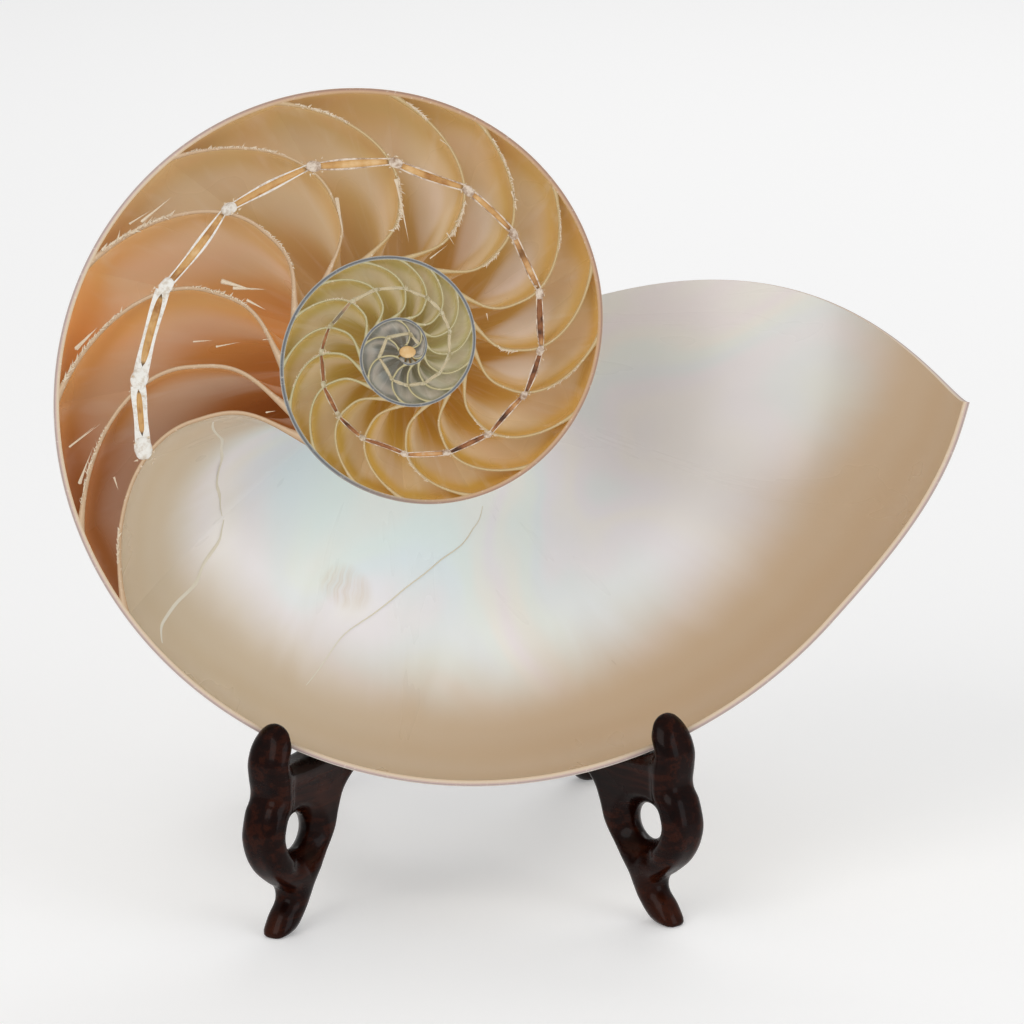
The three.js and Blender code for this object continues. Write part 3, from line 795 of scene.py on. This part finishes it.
def add_bead(skin, centre, ahead, half_length, radius, seed, turn):
    """A lumpy round bead. The saw left it a little proud of the sawn face."""
    side = np.array([-ahead[2], 0.0, ahead[0]])
    along, around = np.linspace(0, np.pi, 17)[:, None], np.linspace(0, 2 * np.pi, 29)[None, :]
    lumps = 1 + 0.07 * np.sin(3 * around + seed) + 0.05 * np.sin(5 * around - 2 * seed + 4 * along)
    ring = np.sin(along) ** 0.75 * radius * lumps
    depth = np.where(np.sin(around) < 0, 0.32, 1.0) * np.sin(around) * ring
    place = centre - (half_length * np.cos(along))[..., None] * ahead
    place = place + (ring * np.cos(around))[..., None] * side + depth[..., None] * INTO_SHELL
    skin.grid(to_row(place), spread(0.5, 0.5, np.zeros(depth.shape)), turn, 1)


def neck_angle(neck):
    """Where the tube meets the septum's own curve."""
    floor = spiral_radius(neck - 360)
    share = (tube_centre(neck) - floor) / (spiral_radius(neck) - floor)
    return neck + float(septum_lead(share, 0.0))


# Slot: its middle and reach along the part, its share of the half width, whether its ends are closed.
SLOTS = [(0.62, 0.31, 0.42, True), (0.58, 0.37, 0.55, True), (0.5, 0.5, 0.68, False)]
# Bead: how far ahead of the neck, its half length and its half width, as shares of the half tube.
NEW_BEAD, OLD_BEAD, NEW_BEADS = (1.0, 1.5, 1.18), (0.8, 1.3, 0.95), 2
SMALLEST_WHORL, PROUD = 4, 0.03
tube = Skin()
collars = []
for i, (newer, older) in enumerate(zip(NECKS[:-1], NECKS[1:])):
    if spiral_radius(older) < SMALLEST_WHORL:
        break
    here, there = (on_spiral(a, tube_centre(a), -PROUD) for a in (neck_angle(newer), neck_angle(older)))
    thick = max(TUBE_LEAST, TUBE_RADIUS_SHARE * float(spiral_radius(newer)))
    length = float(np.linalg.norm(there - here))
    swell = 0.88 + 0.10 * math.sin(1.7 * i + 0.6)
    middle, reach, slot, closed = SLOTS[min(i, 2)]

    def inner(s):
        if closed:
            ends = np.clip(1 - np.abs((s - middle) / reach) ** 4, 0.0004, 1) ** 0.5
        else:
            ends = 0.35 + 0.65 * np.sin(np.pi * (0.05 + 0.9 * s)) ** 0.7
        return thick * swell * slot * ends

    def wall(s):
        if closed:
            return thick * (0.98 + 0.06 * np.sin(9 * s)) - inner(s)
        return thick * (1 - slot) * (0.8 + 0.25 * np.sin(9 * s + i))

    bend = 0.02 * length * math.sin(2.3 * i)
    inside, outside, spots = half_pipe(here, there, inner, wall, bend, 26 if closed else 14)
    spots = spots.copy()
    spots[..., 0] = np.clip(0.5 + 0.5 * (spots[..., 0] - middle) / reach, 0, 1)
    add_trough(tube, inside, outside, spots, newer / 360)
    ahead = (there - here) / length
    before, long, wide = NEW_BEAD if i < NEW_BEADS else OLD_BEAD
    add_bead(tube, here + ahead * before * thick, ahead, long * thick, wide * thick, 1.9 * i, newer / 360)
    collars.append((here, ahead, thick))

# The first chamber is a small amber cup at the coiling axis.
around, rise = np.linspace(0, 2 * np.pi, 25), np.linspace(0, np.pi / 2, 7)
cup = spread(1.5 * np.cos(around)[None, :] * np.cos(rise)[:, None], -0.35 * np.sin(rise)[:, None],
             1.1 * np.sin(around)[None, :] * np.cos(rise)[:, None])
tube.grid(to_row(cup[:, ::-1]), spread(0.5, 0.5, np.zeros(cup.shape[:2])), 0.3, 0)
shell_tube = tube.build("shell_siphuncle", [materials["tube"], materials["chalk"]])

# %% [markdown]
# ## Frayed edges
# The saw left splinters along some septa and chalky crumbs round the necks. Geometry Nodes spreads
# one splinter along each guide line: it leans the way the guide says, with a seeded scatter.

# %%
def guide_mesh(name, lines):
    """Lines of points in the shell's own frame, each with a lean and a size."""
    points, leans, sizes, edges = [], [], [], []
    for line, lean, size in lines:
        first = len(points)
        points.extend(to_row(np.asarray(line)).tolist())
        turned = leaned(np.broadcast_to(lean, np.shape(line)))
        leans.extend(turned.tolist())
        sizes.extend([size] * len(line))
        edges.extend((first + k, first + k + 1) for k in range(len(line) - 1))
    mesh = bpy.data.meshes.new(name)
    mesh.from_pydata(points, edges, [])
    leans = np.ravel(leans).astype(np.float32)
    mesh.attributes.new("lean", "FLOAT_VECTOR", "POINT").data.foreach_set("vector", leans)
    sizes = np.array(sizes, np.float32)
    mesh.attributes.new("size", "FLOAT", "POINT").data.foreach_set("value", sizes)
    return placed(name, mesh)


def fray_tree():
    tree = bpy.data.node_groups.new("Frayed edge", "GeometryNodeTree")
    for title, kind in (("Geometry", "Geometry"), ("Spacing", "Float"), ("Length", "Float"),
                        ("Radius", "Float"), ("Scatter", "Float"), ("Seed", "Int"), ("Material", "Material")):
        tree.interface.new_socket(title, in_out="INPUT", socket_type="NodeSocket" + kind)
    tree.interface.new_socket("Geometry", in_out="OUTPUT", socket_type="NodeSocketGeometry")

    def node(kind, values=None, **settings):
        made = tree.nodes.new(kind)
        for name, value in settings.items():
            setattr(made, name, value)
        for name, value in (values or {}).items():
            made.inputs[name].default_value = value
        return made

    entry, result = node("NodeGroupInput"), node("NodeGroupOutput")
    curve = node("GeometryNodeMeshToCurve")
    resample = node("GeometryNodeResampleCurve", mode="LENGTH")
    cone = node("GeometryNodeMeshCone", {"Vertices": 5, "Side Segments": 2})
    lean = node("GeometryNodeInputNamedAttribute", {"Name": "lean"}, data_type="FLOAT_VECTOR")
    size = node("GeometryNodeInputNamedAttribute", {"Name": "size"}, data_type="FLOAT")
    shake = node("FunctionNodeRandomValue", {0: (-1, -1, -1), 1: (1, 1, 1)}, data_type="FLOAT_VECTOR")
    grow = node("FunctionNodeRandomValue", {0: (0.4, 0.4, 0.2), 1: (1.2, 1.2, 1.3)}, data_type="FLOAT_VECTOR")
    shaken, sized = (node("ShaderNodeVectorMath", operation="SCALE") for _ in range(2))
    way = node("ShaderNodeVectorMath", operation="ADD")
    turned = node("FunctionNodeAlignRotationToVector", axis="Z")
    place, real = node("GeometryNodeInstanceOnPoints"), node("GeometryNodeRealizeInstances")
    finish = node("GeometryNodeSetMaterial")
    for source, title, target, socket in (
        (entry, "Geometry", curve, 0), (curve, 0, resample, "Curve"), (entry, "Spacing", resample, "Length"),
        (entry, "Radius", cone, "Radius Bottom"), (entry, "Length", cone, "Depth"),
        (entry, "Seed", shake, "Seed"), (shake, 0, shaken, 0), (entry, "Scatter", shaken, "Scale"),
        (lean, 0, way, 0), (shaken, 0, way, 1), (way, 0, turned, "Vector"), (grow, 0, sized, 0),
        (size, 0, sized, "Scale"), (resample, 0, place, "Points"), (cone, "Mesh", place, "Instance"),
        (turned, 0, place, "Rotation"), (sized, 0, place, "Scale"), (place, 0, real, 0),
        (real, 0, finish, "Geometry"), (entry, "Material", finish, "Material"), (finish, 0, result, 0),
    ):
        tree.links.new(source.outputs[title], target.inputs[socket])
    return tree


def grown_mesh(guide, tree, name, **inputs):
    """The guide's Geometry Nodes result as a plain mesh object. The guide goes."""
    modifier = guide.modifiers.new("Grow", "NODES")
    modifier.node_group = tree
    for item in tree.interface.items_tree:
        if item.item_type == "SOCKET" and item.in_out == "INPUT" and item.name in inputs:
            modifier[item.identifier] = inputs[item.name]
    bpy.context.view_layer.update()
    ready = guide.evaluated_get(bpy.context.evaluated_depsgraph_get())
    mesh = bpy.data.meshes.new_from_object(ready)
    guide.modifiers.remove(modifier)
    bpy.data.objects.remove(guide)
    print(name, len(mesh.polygons), "faces")
    return placed(name, mesh)


fray = fray_tree()
# Each row: the septum, the shares of its length between which splinters stand, and their size.
FRINGES = [
    (1, 0.93, 0.86, 0.8), (2, 0.97, 0.80, 0.8), (3, 0.985, 0.78, 1.0), (4, 0.985, 0.80, 1.25),
    (5, 0.985, 0.72, 0.7), (6, 0.975, 0.82, 0.9), (6, 0.50, 0.16, 1.0), (7, 0.975, 0.90, 0.7),
    (7, 0.50, 0.25, 0.9), (8, 0.96, 0.70, 0.8), (8, 0.40, 0.25, 0.6), (9, 0.95, 0.80, 0.6),
    (3, 0.50, 0.22, 0.8), (4, 0.45, 0.15, 0.6), (10, 0.35, 0.2, 0.6), (11, 0.9, 0.7, 0.5),
    (12, 0.6, 0.35, 0.5), (14, 0.8, 0.5, 0.5), (18, 0.9, 0.4, 0.4), (20, 0.8, 0.4, 0.4),
]
fringe_lines = []
for septum, first, last, size in FRINGES:
    neck = NECKS[septum - 1]
    share = np.linspace(first, last, 24)
    angle = septum_face(neck, share, 0.0, -0.7)
    line = hollow_point(angle, share, 0.0)
    older = hollow_point(angle - 2, share, 0.0) - line
    dorsal = np.gradient(line, axis=0)
    unit = dorsal / np.linalg.norm(dorsal, axis=-1, keepdims=True)
    lean = 0.8 * unit + 0.35 * older / np.linalg.norm(older, axis=-1, keepdims=True)
    line[:, 1] -= 0.05
    for k in range(len(line) - 1):
        fringe_lines.append((line[k:k + 2], lean[k], size))
guide = guide_mesh("fringe guide", fringe_lines)
fringe = grown_mesh(guide, fray, "shell_splinters", Spacing=0.00030, Length=0.0012, Radius=0.00026,
                    Scatter=0.75, Seed=7, Material=materials["crumb"])

# %% [markdown]
# The larger slivers lie where they do in the photograph. Each row is a start and an end in its
# pixels, and one pixel is 0.18 mm on the sawn face.

# %%
PIXEL, SLIVER_LENGTH, SLIVER_PROUD = 0.18, 0.004, 0.25
SLIVERS = [
    (220, 281, 268, 295), (232, 288, 262, 290), (192, 342, 210, 341), (262, 340, 274, 339),
    (487, 313, 490, 325), (265, 413, 280, 410), (140, 222, 166, 201), (128, 224, 150, 212),
    (74, 350, 102, 319), (68, 448, 95, 428), (78, 485, 90, 452), (113, 478, 119, 498),
    (440, 138, 452, 147), (512, 190, 520, 214), (447, 232, 455, 244), (430, 258, 446, 245),
    (336, 197, 345, 240), (396, 178, 404, 232), (215, 347, 236, 343), (246, 300, 268, 312),
]
sliver_lines = []
for x1, y1, x2, y2 in SLIVERS:
    start = np.array([(x1 - POLE_PIXEL[0]) * PIXEL, -SLIVER_PROUD, (POLE_PIXEL[1] - y1) * PIXEL])
    end = np.array([(x2 - POLE_PIXEL[0]) * PIXEL, -SLIVER_PROUD, (POLE_PIXEL[1] - y2) * PIXEL])
    way = end - start
    length = np.linalg.norm(way)
    sliver_lines.append((np.stack([start, start + 0.02 * way]), way / length, length * MM / SLIVER_LENGTH))
guide = guide_mesh("sliver guide", sliver_lines)
slivers = grown_mesh(guide, fray, "shell_slivers", Spacing=0.01, Length=SLIVER_LENGTH, Radius=0.00022,
                     Scatter=0.06, Seed=3, Material=materials["crumb"])

# %% [markdown]
# Crumbs lie round the newer necks, at seeded random places next to each bead.

# %%
CRUMBLY_NECKS, CRUMBS_PER_NECK = 26, 9
random = np.random.default_rng(11)
crumb_lines = []
for here, ahead, thick in collars[:CRUMBLY_NECKS]:
    side = np.array([-ahead[2], 0.0, ahead[0]])
    for _ in range(CRUMBS_PER_NECK):
        across = random.choice([-1, 1]) * random.uniform(0.85, 1.3) * thick
        start = here + side * across + ahead * random.uniform(-1.3, 2.6) * thick
        start = start + np.array([0.0, random.uniform(-0.3, 0.1) * thick, 0.0])
        lean = ahead * random.uniform(-1, 1) + side * random.uniform(-1, 1)
        crumb_lines.append((np.stack([start, start + 0.05 * lean]), lean, random.uniform(0.25, 0.65) * thick))
guide = guide_mesh("crumb guide", crumb_lines)
crumbs = grown_mesh(guide, fray, "shell_crumbs", Spacing=0.01, Length=0.0009, Radius=0.00032,
                    Scatter=0.5, Seed=5, Material=materials["crumb"])

# %% [markdown]
# ## The stand
# Each board is carved from a flat plank. Its shape is a field of distances: the outline rounded over
# its edges, a web that is thinner than the rim, an oval window, a lap slot and the shell's seat.

# %%
TOE = [[9.4, 0.0], [4.2, 0.0], [6.1, 3.8], [8.6, 6.2]]
LOWER_BULGE = [[8.7, 8.0], [6.5, 9.7], [3.3, 12.3], [1.1, 15.4], [0.0, 18.9], [0.2, 21.5], [1.4, 25.0]]
NOTCH = [[2.9, 27.1]]
HOOK = [[2.5, 30.1], [2.3, 33.2], [3.5, 36.3], [5.2, 38.9], [7.3, 40.1], [8.7, 38.9], [8.6, 36.1],
        [8.0, 32.6]]
SADDLE = [[16.0, 31.9], [26.0, 32.9], [36.0, 35.0]]
UPRIGHT = [[45.0, 37.1], [52.5, 43.9], [56.0, 54.3], [57.5, 64.8], [60.5, 73.1], [66.0, 75.8], [71.5, 72.6],
           [73.5, 63.7], [76.0, 52.2], [83.0, 43.4], [94.0, 38.1]]
REAR_SCROLL = [[4.0, 27.2], [2.4, 29.9], [2.6, 33.9], [6.5, 37.6], [14.0, 38.7]]
CALF = [[13.2, 3.0], [14.9, 5.6], [15.6, 8.6], [17.4, 10.9], [20.2, 13.6], [22.5, 16.6], [23.8, 20.1],
        [25.7, 23.4]]
ARM_UNDERSIDE = [[29.8, 25.9], [37.0, 25.0], [50.0, 21.4], [66.0, 19.9], [84.0, 21.4], [95.0, 25.1]]
WINDOW, WINDOW_HALF, WINDOW_SLANT = (11.7, 18.6), (4.6, 3.4), math.radians(-18)
WEB_DEPTH, DISH_DEPTH, HOOK_THINNING = 0.95, 1.3, 1.3
EDGE_ROUNDING, WEB_ROUNDING = 3.1, 1.2


def board_outline():
    front = TOE + LOWER_BULGE + NOTCH + HOOK + SADDLE + UPRIGHT
    rear_leg = REAR_SCROLL[::-1] + LOWER_BULGE[::-1] + TOE[::-1] + CALF
    rear = [[BOARD_LENGTH - u, v] for u, v in rear_leg]
    return np.array(front + rear + ARM_UNDERSIDE[::-1] + CALF[::-1])


def rounded_loop(points, steps=6):
    """A smooth closed curve through the points."""
    before, after, beyond = np.roll(points, 1, 0), np.roll(points, -1, 0), np.roll(points, -2, 0)
    t = (np.arange(steps) / steps)[None, :, None]
    a, b, c, d = (p[:, None, :] for p in (before, points, after, beyond))
    curve = b + 0.5 * t * (c - a + t * (2 * a - 5 * b + 4 * c - d + t * (3 * (b - c) + d - a)))
    return curve.reshape(-1, 2)


def loop_distance(points, u, v):
    """Distance from each (u, v) to the closed line, above zero inside it."""
    best = np.full(u.shape, 1e9)
    inside = np.zeros(u.shape, bool)
    for (x1, y1), (x2, y2) in zip(points, np.roll(points, -1, 0)):
        dx, dy = x2 - x1, y2 - y1
        t = np.clip(((u - x1) * dx + (v - y1) * dy) / (dx * dx + dy * dy), 0, 1)
        best = np.minimum(best, np.hypot(u - x1 - t * dx, v - y1 - t * dy))
        if y1 != y2:
            inside ^= ((y1 > v) != (y2 > v)) & (u < x1 + (v - y1) * dx / dy)
    return np.where(inside, best, -best)


def surface_net(field, low, step):
    """The surface where a field of distances changes sign, as points and quads."""
    inside = field < 0
    cells = tuple(n - 1 for n in field.shape)
    corners = [(i, j, k) for i in (0, 1) for j in (0, 1) for k in (0, 1)]

    def at(array, c):
        return array[tuple(slice(o, o + n) for o, n in zip(c, cells))]

    total, count = np.zeros((*cells, 3)), np.zeros(cells)
    for a in corners:
        for axis in range(3):
            if a[axis]:
                continue
            b = tuple(v + (n == axis) for n, v in enumerate(a))
            fa, fb = at(field, a), at(field, b)
            cross = at(inside, a) != at(inside, b)
            t = np.where(cross, fa / np.where(cross, fa - fb, 1), 0)
            for n in range(3):
                total[..., n] += cross * (a[n] + (t if n == axis else 0))
            count += cross
    used = count > 0
    number = np.full(cells, -1)
    number[used] = np.arange(used.sum())
    points = np.argwhere(used) + total[used] / count[used][:, None]
    quads = []
    for axis in range(3):
        p, q = [n for n in range(3) if n != axis]
        a = inside[tuple(slice(1, -1) if n != axis else slice(0, -1) for n in range(3))]
        b = inside[tuple(slice(1, -1) if n != axis else slice(1, None) for n in range(3))]
        for flip in (False, True):
            found = np.argwhere((a & ~b) if not flip else (b & ~a))
            found = found + np.array([0 if n == axis else 1 for n in range(3)])
            unit_p, unit_q = np.eye(3, dtype=int)[p], np.eye(3, dtype=int)[q]
            ring = [found - unit_p - unit_q, found - unit_q, found, found - unit_p]
            quad = np.stack([number[tuple(c.T)] for c in ring], -1)
            quads.append(quad[:, ::-1] if flip ^ (axis == 1) else quad)
    return low + points * step, np.concatenate(quads)


print("board outline of", len(board_outline()), "points")

# %% [markdown]
# The seat follows the lower shell. The slot lets in the other board, and the soles are cut flat.

# %%
def shell_room(x, y, z):
    """Below zero in the space of the lower shell, for points in millimetres in the row frame."""
    x, y, z = x - POLE[0], y - POLE[1], z - POLE[2]
    c, s = math.cos(LEAN), math.sin(LEAN)
    y, z = y * c - z * s, y * s + z * c
    c, s = math.cos(TURN_IN_PLANE), math.sin(TURN_IN_PLANE)
    x, z = x * c - z * s, z * c + x * s
    angle = np.degrees(np.arctan2(z, x)) % 360
    radius = spiral_radius(np.clip(angle, 190, 350))
    out = np.hypot(x, z)
    outward = np.maximum(out - WIDEST * radius, 0) / ((1 - WIDEST) * radius)
    ratio = np.hypot(outward, y / (HALF_WIDTH * radius))
    gap = (ratio - 1) * radius * 0.5 - CONTACT_GAP
    return np.maximum(gap, -CONTACT_GAP - y)


def board_field(side, step):
    """Distances on a grid over the board: below zero in the wood."""
    u = np.arange(-2, BOARD_LENGTH + 2.01, step)
    v = np.arange(-2, 79, step)
    w = np.arange(-BOARD_THICKNESS / 2 - 3 * step, BOARD_THICKNESS / 2 + 3.01 * step, step)
    flat_u, flat_v = np.meshgrid(u, v, indexing="ij")
    edge = loop_distance(rounded_loop(board_outline()), flat_u, flat_v)
    from_end = np.where(flat_u > BOARD_LENGTH / 2, BOARD_LENGTH - flat_u, flat_u)
    du, dv = from_end - WINDOW[0], flat_v - WINDOW[1]
    c, s = math.cos(WINDOW_SLANT), math.sin(WINDOW_SLANT)
    ratio = np.hypot((du * c + dv * s) / WINDOW_HALF[0], (dv * c - du * s) / WINDOW_HALF[1])
    hole = (ratio - 1) * np.mean(WINDOW_HALF)
    web = ease(np.minimum(edge, 99), 3.2, 5.6) * ease(flat_v, 10, 13) * (1 - ease(flat_v, 31, 36))
    panel = ease(from_end, 5.5, 8.5) * ease(flat_v, 11, 14)
    panel = panel * (1 - ease(flat_v, 28, 33)) * (1 - ease(from_end, 24, 30))
    web = np.maximum(web, panel)
    ankle = ease(flat_v, 0.4 * ANKLE_TOP, ANKLE_TOP)
    half = BOARD_THICKNESS / 2 - WEB_DEPTH * web
    half = half * (ANKLE_THICKNESS / BOARD_THICKNESS * (1 - ankle) + ankle)
    dish = 1 - ease(hole, 0.2, 3.0)
    hook_tip = ease(flat_v, 35.0, 41.0) * (from_end < 14)
    half = half - DISH_DEPTH * dish - HOOK_THINNING * hook_tip
    rounding = np.minimum(half - 0.1, EDGE_ROUNDING - WEB_ROUNDING * web)
    reach = np.minimum(edge, hole)
    p = (rounding - reach)[..., None]
    q = np.abs(w)[None, None, :] - (half - rounding)[..., None]
    field = np.minimum(np.maximum(p, q), 0) + np.hypot(np.maximum(p, 0), np.maximum(q, 0))
    field = np.maximum(field - rounding[..., None], -flat_v[..., None])

    along = np.array([-side * math.sin(BOARD_TURN), math.cos(BOARD_TURN), 0.0])
    up = np.array([0.0, 0.0, 1.0])
    out = np.cross(along, up)
    base = STAND_PLACE + np.array([side * HALF_SPAN, 0.0, 0.0])
    uu, vv, ww = u[:, None, None], v[None, :, None], w[None, None, :]
    x, y, z = (base[n] + along[n] * uu + up[n] * vv + out[n] * ww for n in range(3))
    other = np.array([side * math.sin(BOARD_TURN), math.cos(BOARD_TURN), 0.0])
    other_out = np.cross(other, up)
    from_other = (x - STAND_PLACE[0] + side * HALF_SPAN, y - STAND_PLACE[1])
    across = np.abs(from_other[0] * other_out[0] + from_other[1] * other_out[1])
    slot_half = BOARD_THICKNESS / 2 + CONTACT_GAP
    level = (LAP_HEIGHT - CONTACT_GAP / 2 - z) if side < 0 else (z - LAP_HEIGHT - CONTACT_GAP / 2)
    field = np.maximum(field, -np.maximum(across - slot_half, level))
    field = np.maximum(field, -shell_room(x, y, z))
    return field, np.array([u[0], v[0], w[0]]), base, np.stack([along, up, out])


boards_low, boards_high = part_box("stand_board_left")
right_low, right_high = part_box("stand_board_right")
front_y = min(boards_low.y, right_low.y)
back_y = max(boards_high.y, right_high.y)
STAND_PLACE = np.array([
    (min(boards_low.x, right_low.x) + max(boards_high.x, right_high.x)) / 2 / MM,
    (front_y + back_y) / 2 / MM - BOARD_LENGTH * math.cos(BOARD_TURN) / 2,
    0.0,
])
print("stand's middle", STAND_PLACE.round(2))

# %% [markdown]
# The wood is a dark red-brown rosewood with a polished film. Its grain runs along the board.

# %%
def rosewood(w):
    u, v, t = w.split(w.attribute("spot"))
    bend = w.noise(w.join(w.times(u, 0.03), w.times(v, 0.05), 0.0), 1.0, 2)
    layer = w.plus(w.times(v, 0.55), w.times(bend, 3))
    rings = w.noise(w.join(w.times(u, 0.035), layer, w.times(t, 0.5)), 1.0, 4, 0.6)
    pores = w.noise(w.join(w.times(u, 0.25), w.times(v, 5), w.times(t, 5)), 1.0, 2, 0.5)
    colour = w.ramp(rings, [(0.30, (0.005, 0.0012, 0.0008)), (0.48, (0.010, 0.0020, 0.0010)),
                            (0.62, (0.027, 0.0055, 0.0020)), (0.78, (0.008, 0.0017, 0.0010))])
    broad = w.noise(w.object_place(), 55, 2, 0.5)
    colour = w.mix(w.smooth(broad, 0.55, 0.78, 0.0, 0.6), colour, (0.058, 0.013, 0.0045))
    colour = w.mix(w.smooth(pores, 0.60, 0.72), colour, (0.005, 0.002, 0.002))
    worn = w.noise(w.object_place(), 120, 3, 0.6)
    rough = w.smooth(worn, 0.35, 0.7, 0.22, 0.38)
    return {"Base Color": colour, "Roughness": rough, "Bump": (pores, 0.12, 0.0002)}


materials["wood"] = new_material("Rosewood", rosewood, Coat_Weight=0.11, Coat_Roughness=0.08,
                                 Specular_IOR_Level=0.05)
print("materials", sorted(materials))

# %% [markdown]
# Each board is built on a grid with a step in millimetres. The grain of one board is shifted from
# the other's, so that the two don't look alike.

# %%
BOARD_STEP, QUICK_STEP, GRAIN_SHIFT = 0.5, 0.9, 40.0


def build_board(name, side):
    step = BOARD_STEP
    field, low, base, axes = board_field(side, step)
    points, quads = surface_net(field, low, step)
    row = (base + points @ axes) * MM
    mesh = bpy.data.meshes.new(name)
    mesh.from_pydata(row.tolist(), [], quads.tolist())
    mesh.polygons.foreach_set("use_smooth", np.full(len(quads), True))
    spot = mesh.attributes.new("spot", "FLOAT_VECTOR", "POINT")
    grain = points + np.array([GRAIN_SHIFT * side, 0, 0])
    spot.data.foreach_set("vector", grain.astype(np.float32).ravel())
    mesh.materials.append(materials["wood"])
    mesh.update()
    print(name, len(quads) * 2, "triangles", row.min(0).round(4), row.max(0).round(4))
    return placed(name, mesh)


board_left = build_board("board_left", -1)
board_right = build_board("board_right", 1)

# %% [markdown]
# ## Riding and replacing
# Everything rides on the root body, and the CAD nodes give way to these pieces.

# %%
shell_pieces = [shell_chambers, shell_living, shell_ridges, shell_outside, shell_edges, shell_tube,
                fringe, slivers, crumbs]
for piece in shell_pieces:
    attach(piece, "root")
    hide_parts("shell_half")
for piece, node in ((board_left, "stand_board_left"), (board_right, "stand_board_right")):
    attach(piece, "root")
    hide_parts(node)
print(len(shell_pieces) + 2, "pieces ride on root")

# %% [markdown]
# ## Floor, light and camera
# A pale floor, a large soft light above at the left and weaker fills. The camera looks from the
# photograph's angle: 15 degrees up and a little from the left.

# %%
FLOOR_REACH = 6.0
floor_mesh = bpy.data.meshes.new("floor")
corners = [(x * FLOOR_REACH, y * FLOOR_REACH, 0) for x, y in ((-1, -1), (1, -1), (1, 1), (-1, 1))]
floor_mesh.from_pydata(corners, [], [(0, 1, 2, 3)])
floor_mesh.materials.append(new_material(
    "Pale floor", lambda w: {}, Base_Color=(0.88, 0.88, 0.88), Roughness=0.8,
    Emission_Color=(1, 1, 1), Emission_Strength=0.22))
floor = placed("floor", floor_mesh)

world = bpy.data.worlds.new("Studio")
bpy.context.scene.world = world
world.use_nodes = True
world.node_tree.nodes["Background"].inputs["Color"].default_value = (1.0, 1.0, 1.0, 1)
world.node_tree.nodes["Background"].inputs["Strength"].default_value = 0.5


def area_light(name, place, target, width, height, power, colour=(1, 1, 1)):
    data = bpy.data.lights.new(name, "AREA")
    data.shape, data.size, data.size_y = "RECTANGLE", width, height
    data.energy, data.color = power, colour
    lamp = placed(name, data)
    lamp.location = place
    lamp.rotation_euler = (Vector(target) - Vector(place)).to_track_quat("-Z", "Y").to_euler()


centre = (0.0, -0.02, 0.08)
area_light("Window", (-0.55, -0.75, 0.75), centre, 0.7, 0.7, 3.3, (1.0, 0.98, 0.96))
area_light("Fill", (0.8, -0.7, 0.40), centre, 0.6, 0.8, 2.6, (0.93, 0.96, 1.0))
area_light("Back", (0.3, 0.9, 0.8), centre, 0.8, 0.4, 2.5)
print("lights round", centre)

# %% [markdown]
# The camera starts from a guess. It then scales its lens and shifts until the coiling axis and the
# lip's tip fall on their pixels.

# %%
AZIMUTH, ELEVATION, ROLL, DISTANCE = math.radians(-3), math.radians(15), math.radians(-0.7), 1.15
FIRST_LENS, PICTURE_SIDE = 220, 1024
camera_data = bpy.data.cameras.new("Photo view")
camera = placed("Photo view", camera_data)
level = math.cos(ELEVATION)
back = Vector((math.sin(AZIMUTH) * level, -math.cos(AZIMUTH) * level, math.sin(ELEVATION)))
pole = Vector(to_row(np.zeros(3)))
tip = Vector(to_row(on_spiral(TIP_ANGLE, spiral_radius(TIP_ANGLE), 0.0)))
camera.rotation_mode = "QUATERNION"
camera.rotation_quaternion = (-back).to_track_quat("-Z", "Y") @ Matrix.Rotation(ROLL, 3, "Z").to_quaternion()
camera_data.clip_start, camera_data.clip_end = 0.05, 20
camera_data.lens = FIRST_LENS
camera.location = Vector((0, 0, 0.07)) + back * DISTANCE


def photo_pixel(point):
    """Where a point of the row frame, in metres, falls in the square picture."""
    matrix = Matrix.LocRotScale(camera.location, camera.rotation_quaternion, None).inverted()
    x, y, z = matrix @ Vector(point)
    f = camera_data.lens / camera_data.sensor_width * PICTURE_SIDE
    return Vector((PICTURE_SIDE / 2 - f * x / z, PICTURE_SIDE / 2 + f * y / z))


for _ in range(6):
    drawn = (photo_pixel(tip) - photo_pixel(pole)).length
    camera_data.lens *= (Vector(TIP_PIXEL) - Vector(POLE_PIXEL)).length / drawn
    miss = photo_pixel(pole) - Vector(POLE_PIXEL)
    scale = DISTANCE * camera_data.sensor_width / camera_data.lens / PICTURE_SIDE
    camera.location += camera.rotation_quaternion @ Vector((miss.x * scale, -miss.y * scale, 0))
bpy.context.scene.camera = camera
bpy.context.scene.view_settings.view_transform = "Standard"
print("lens", round(camera_data.lens, 1), "coiling axis at", photo_pixel(pole), "tip at", photo_pixel(tip))
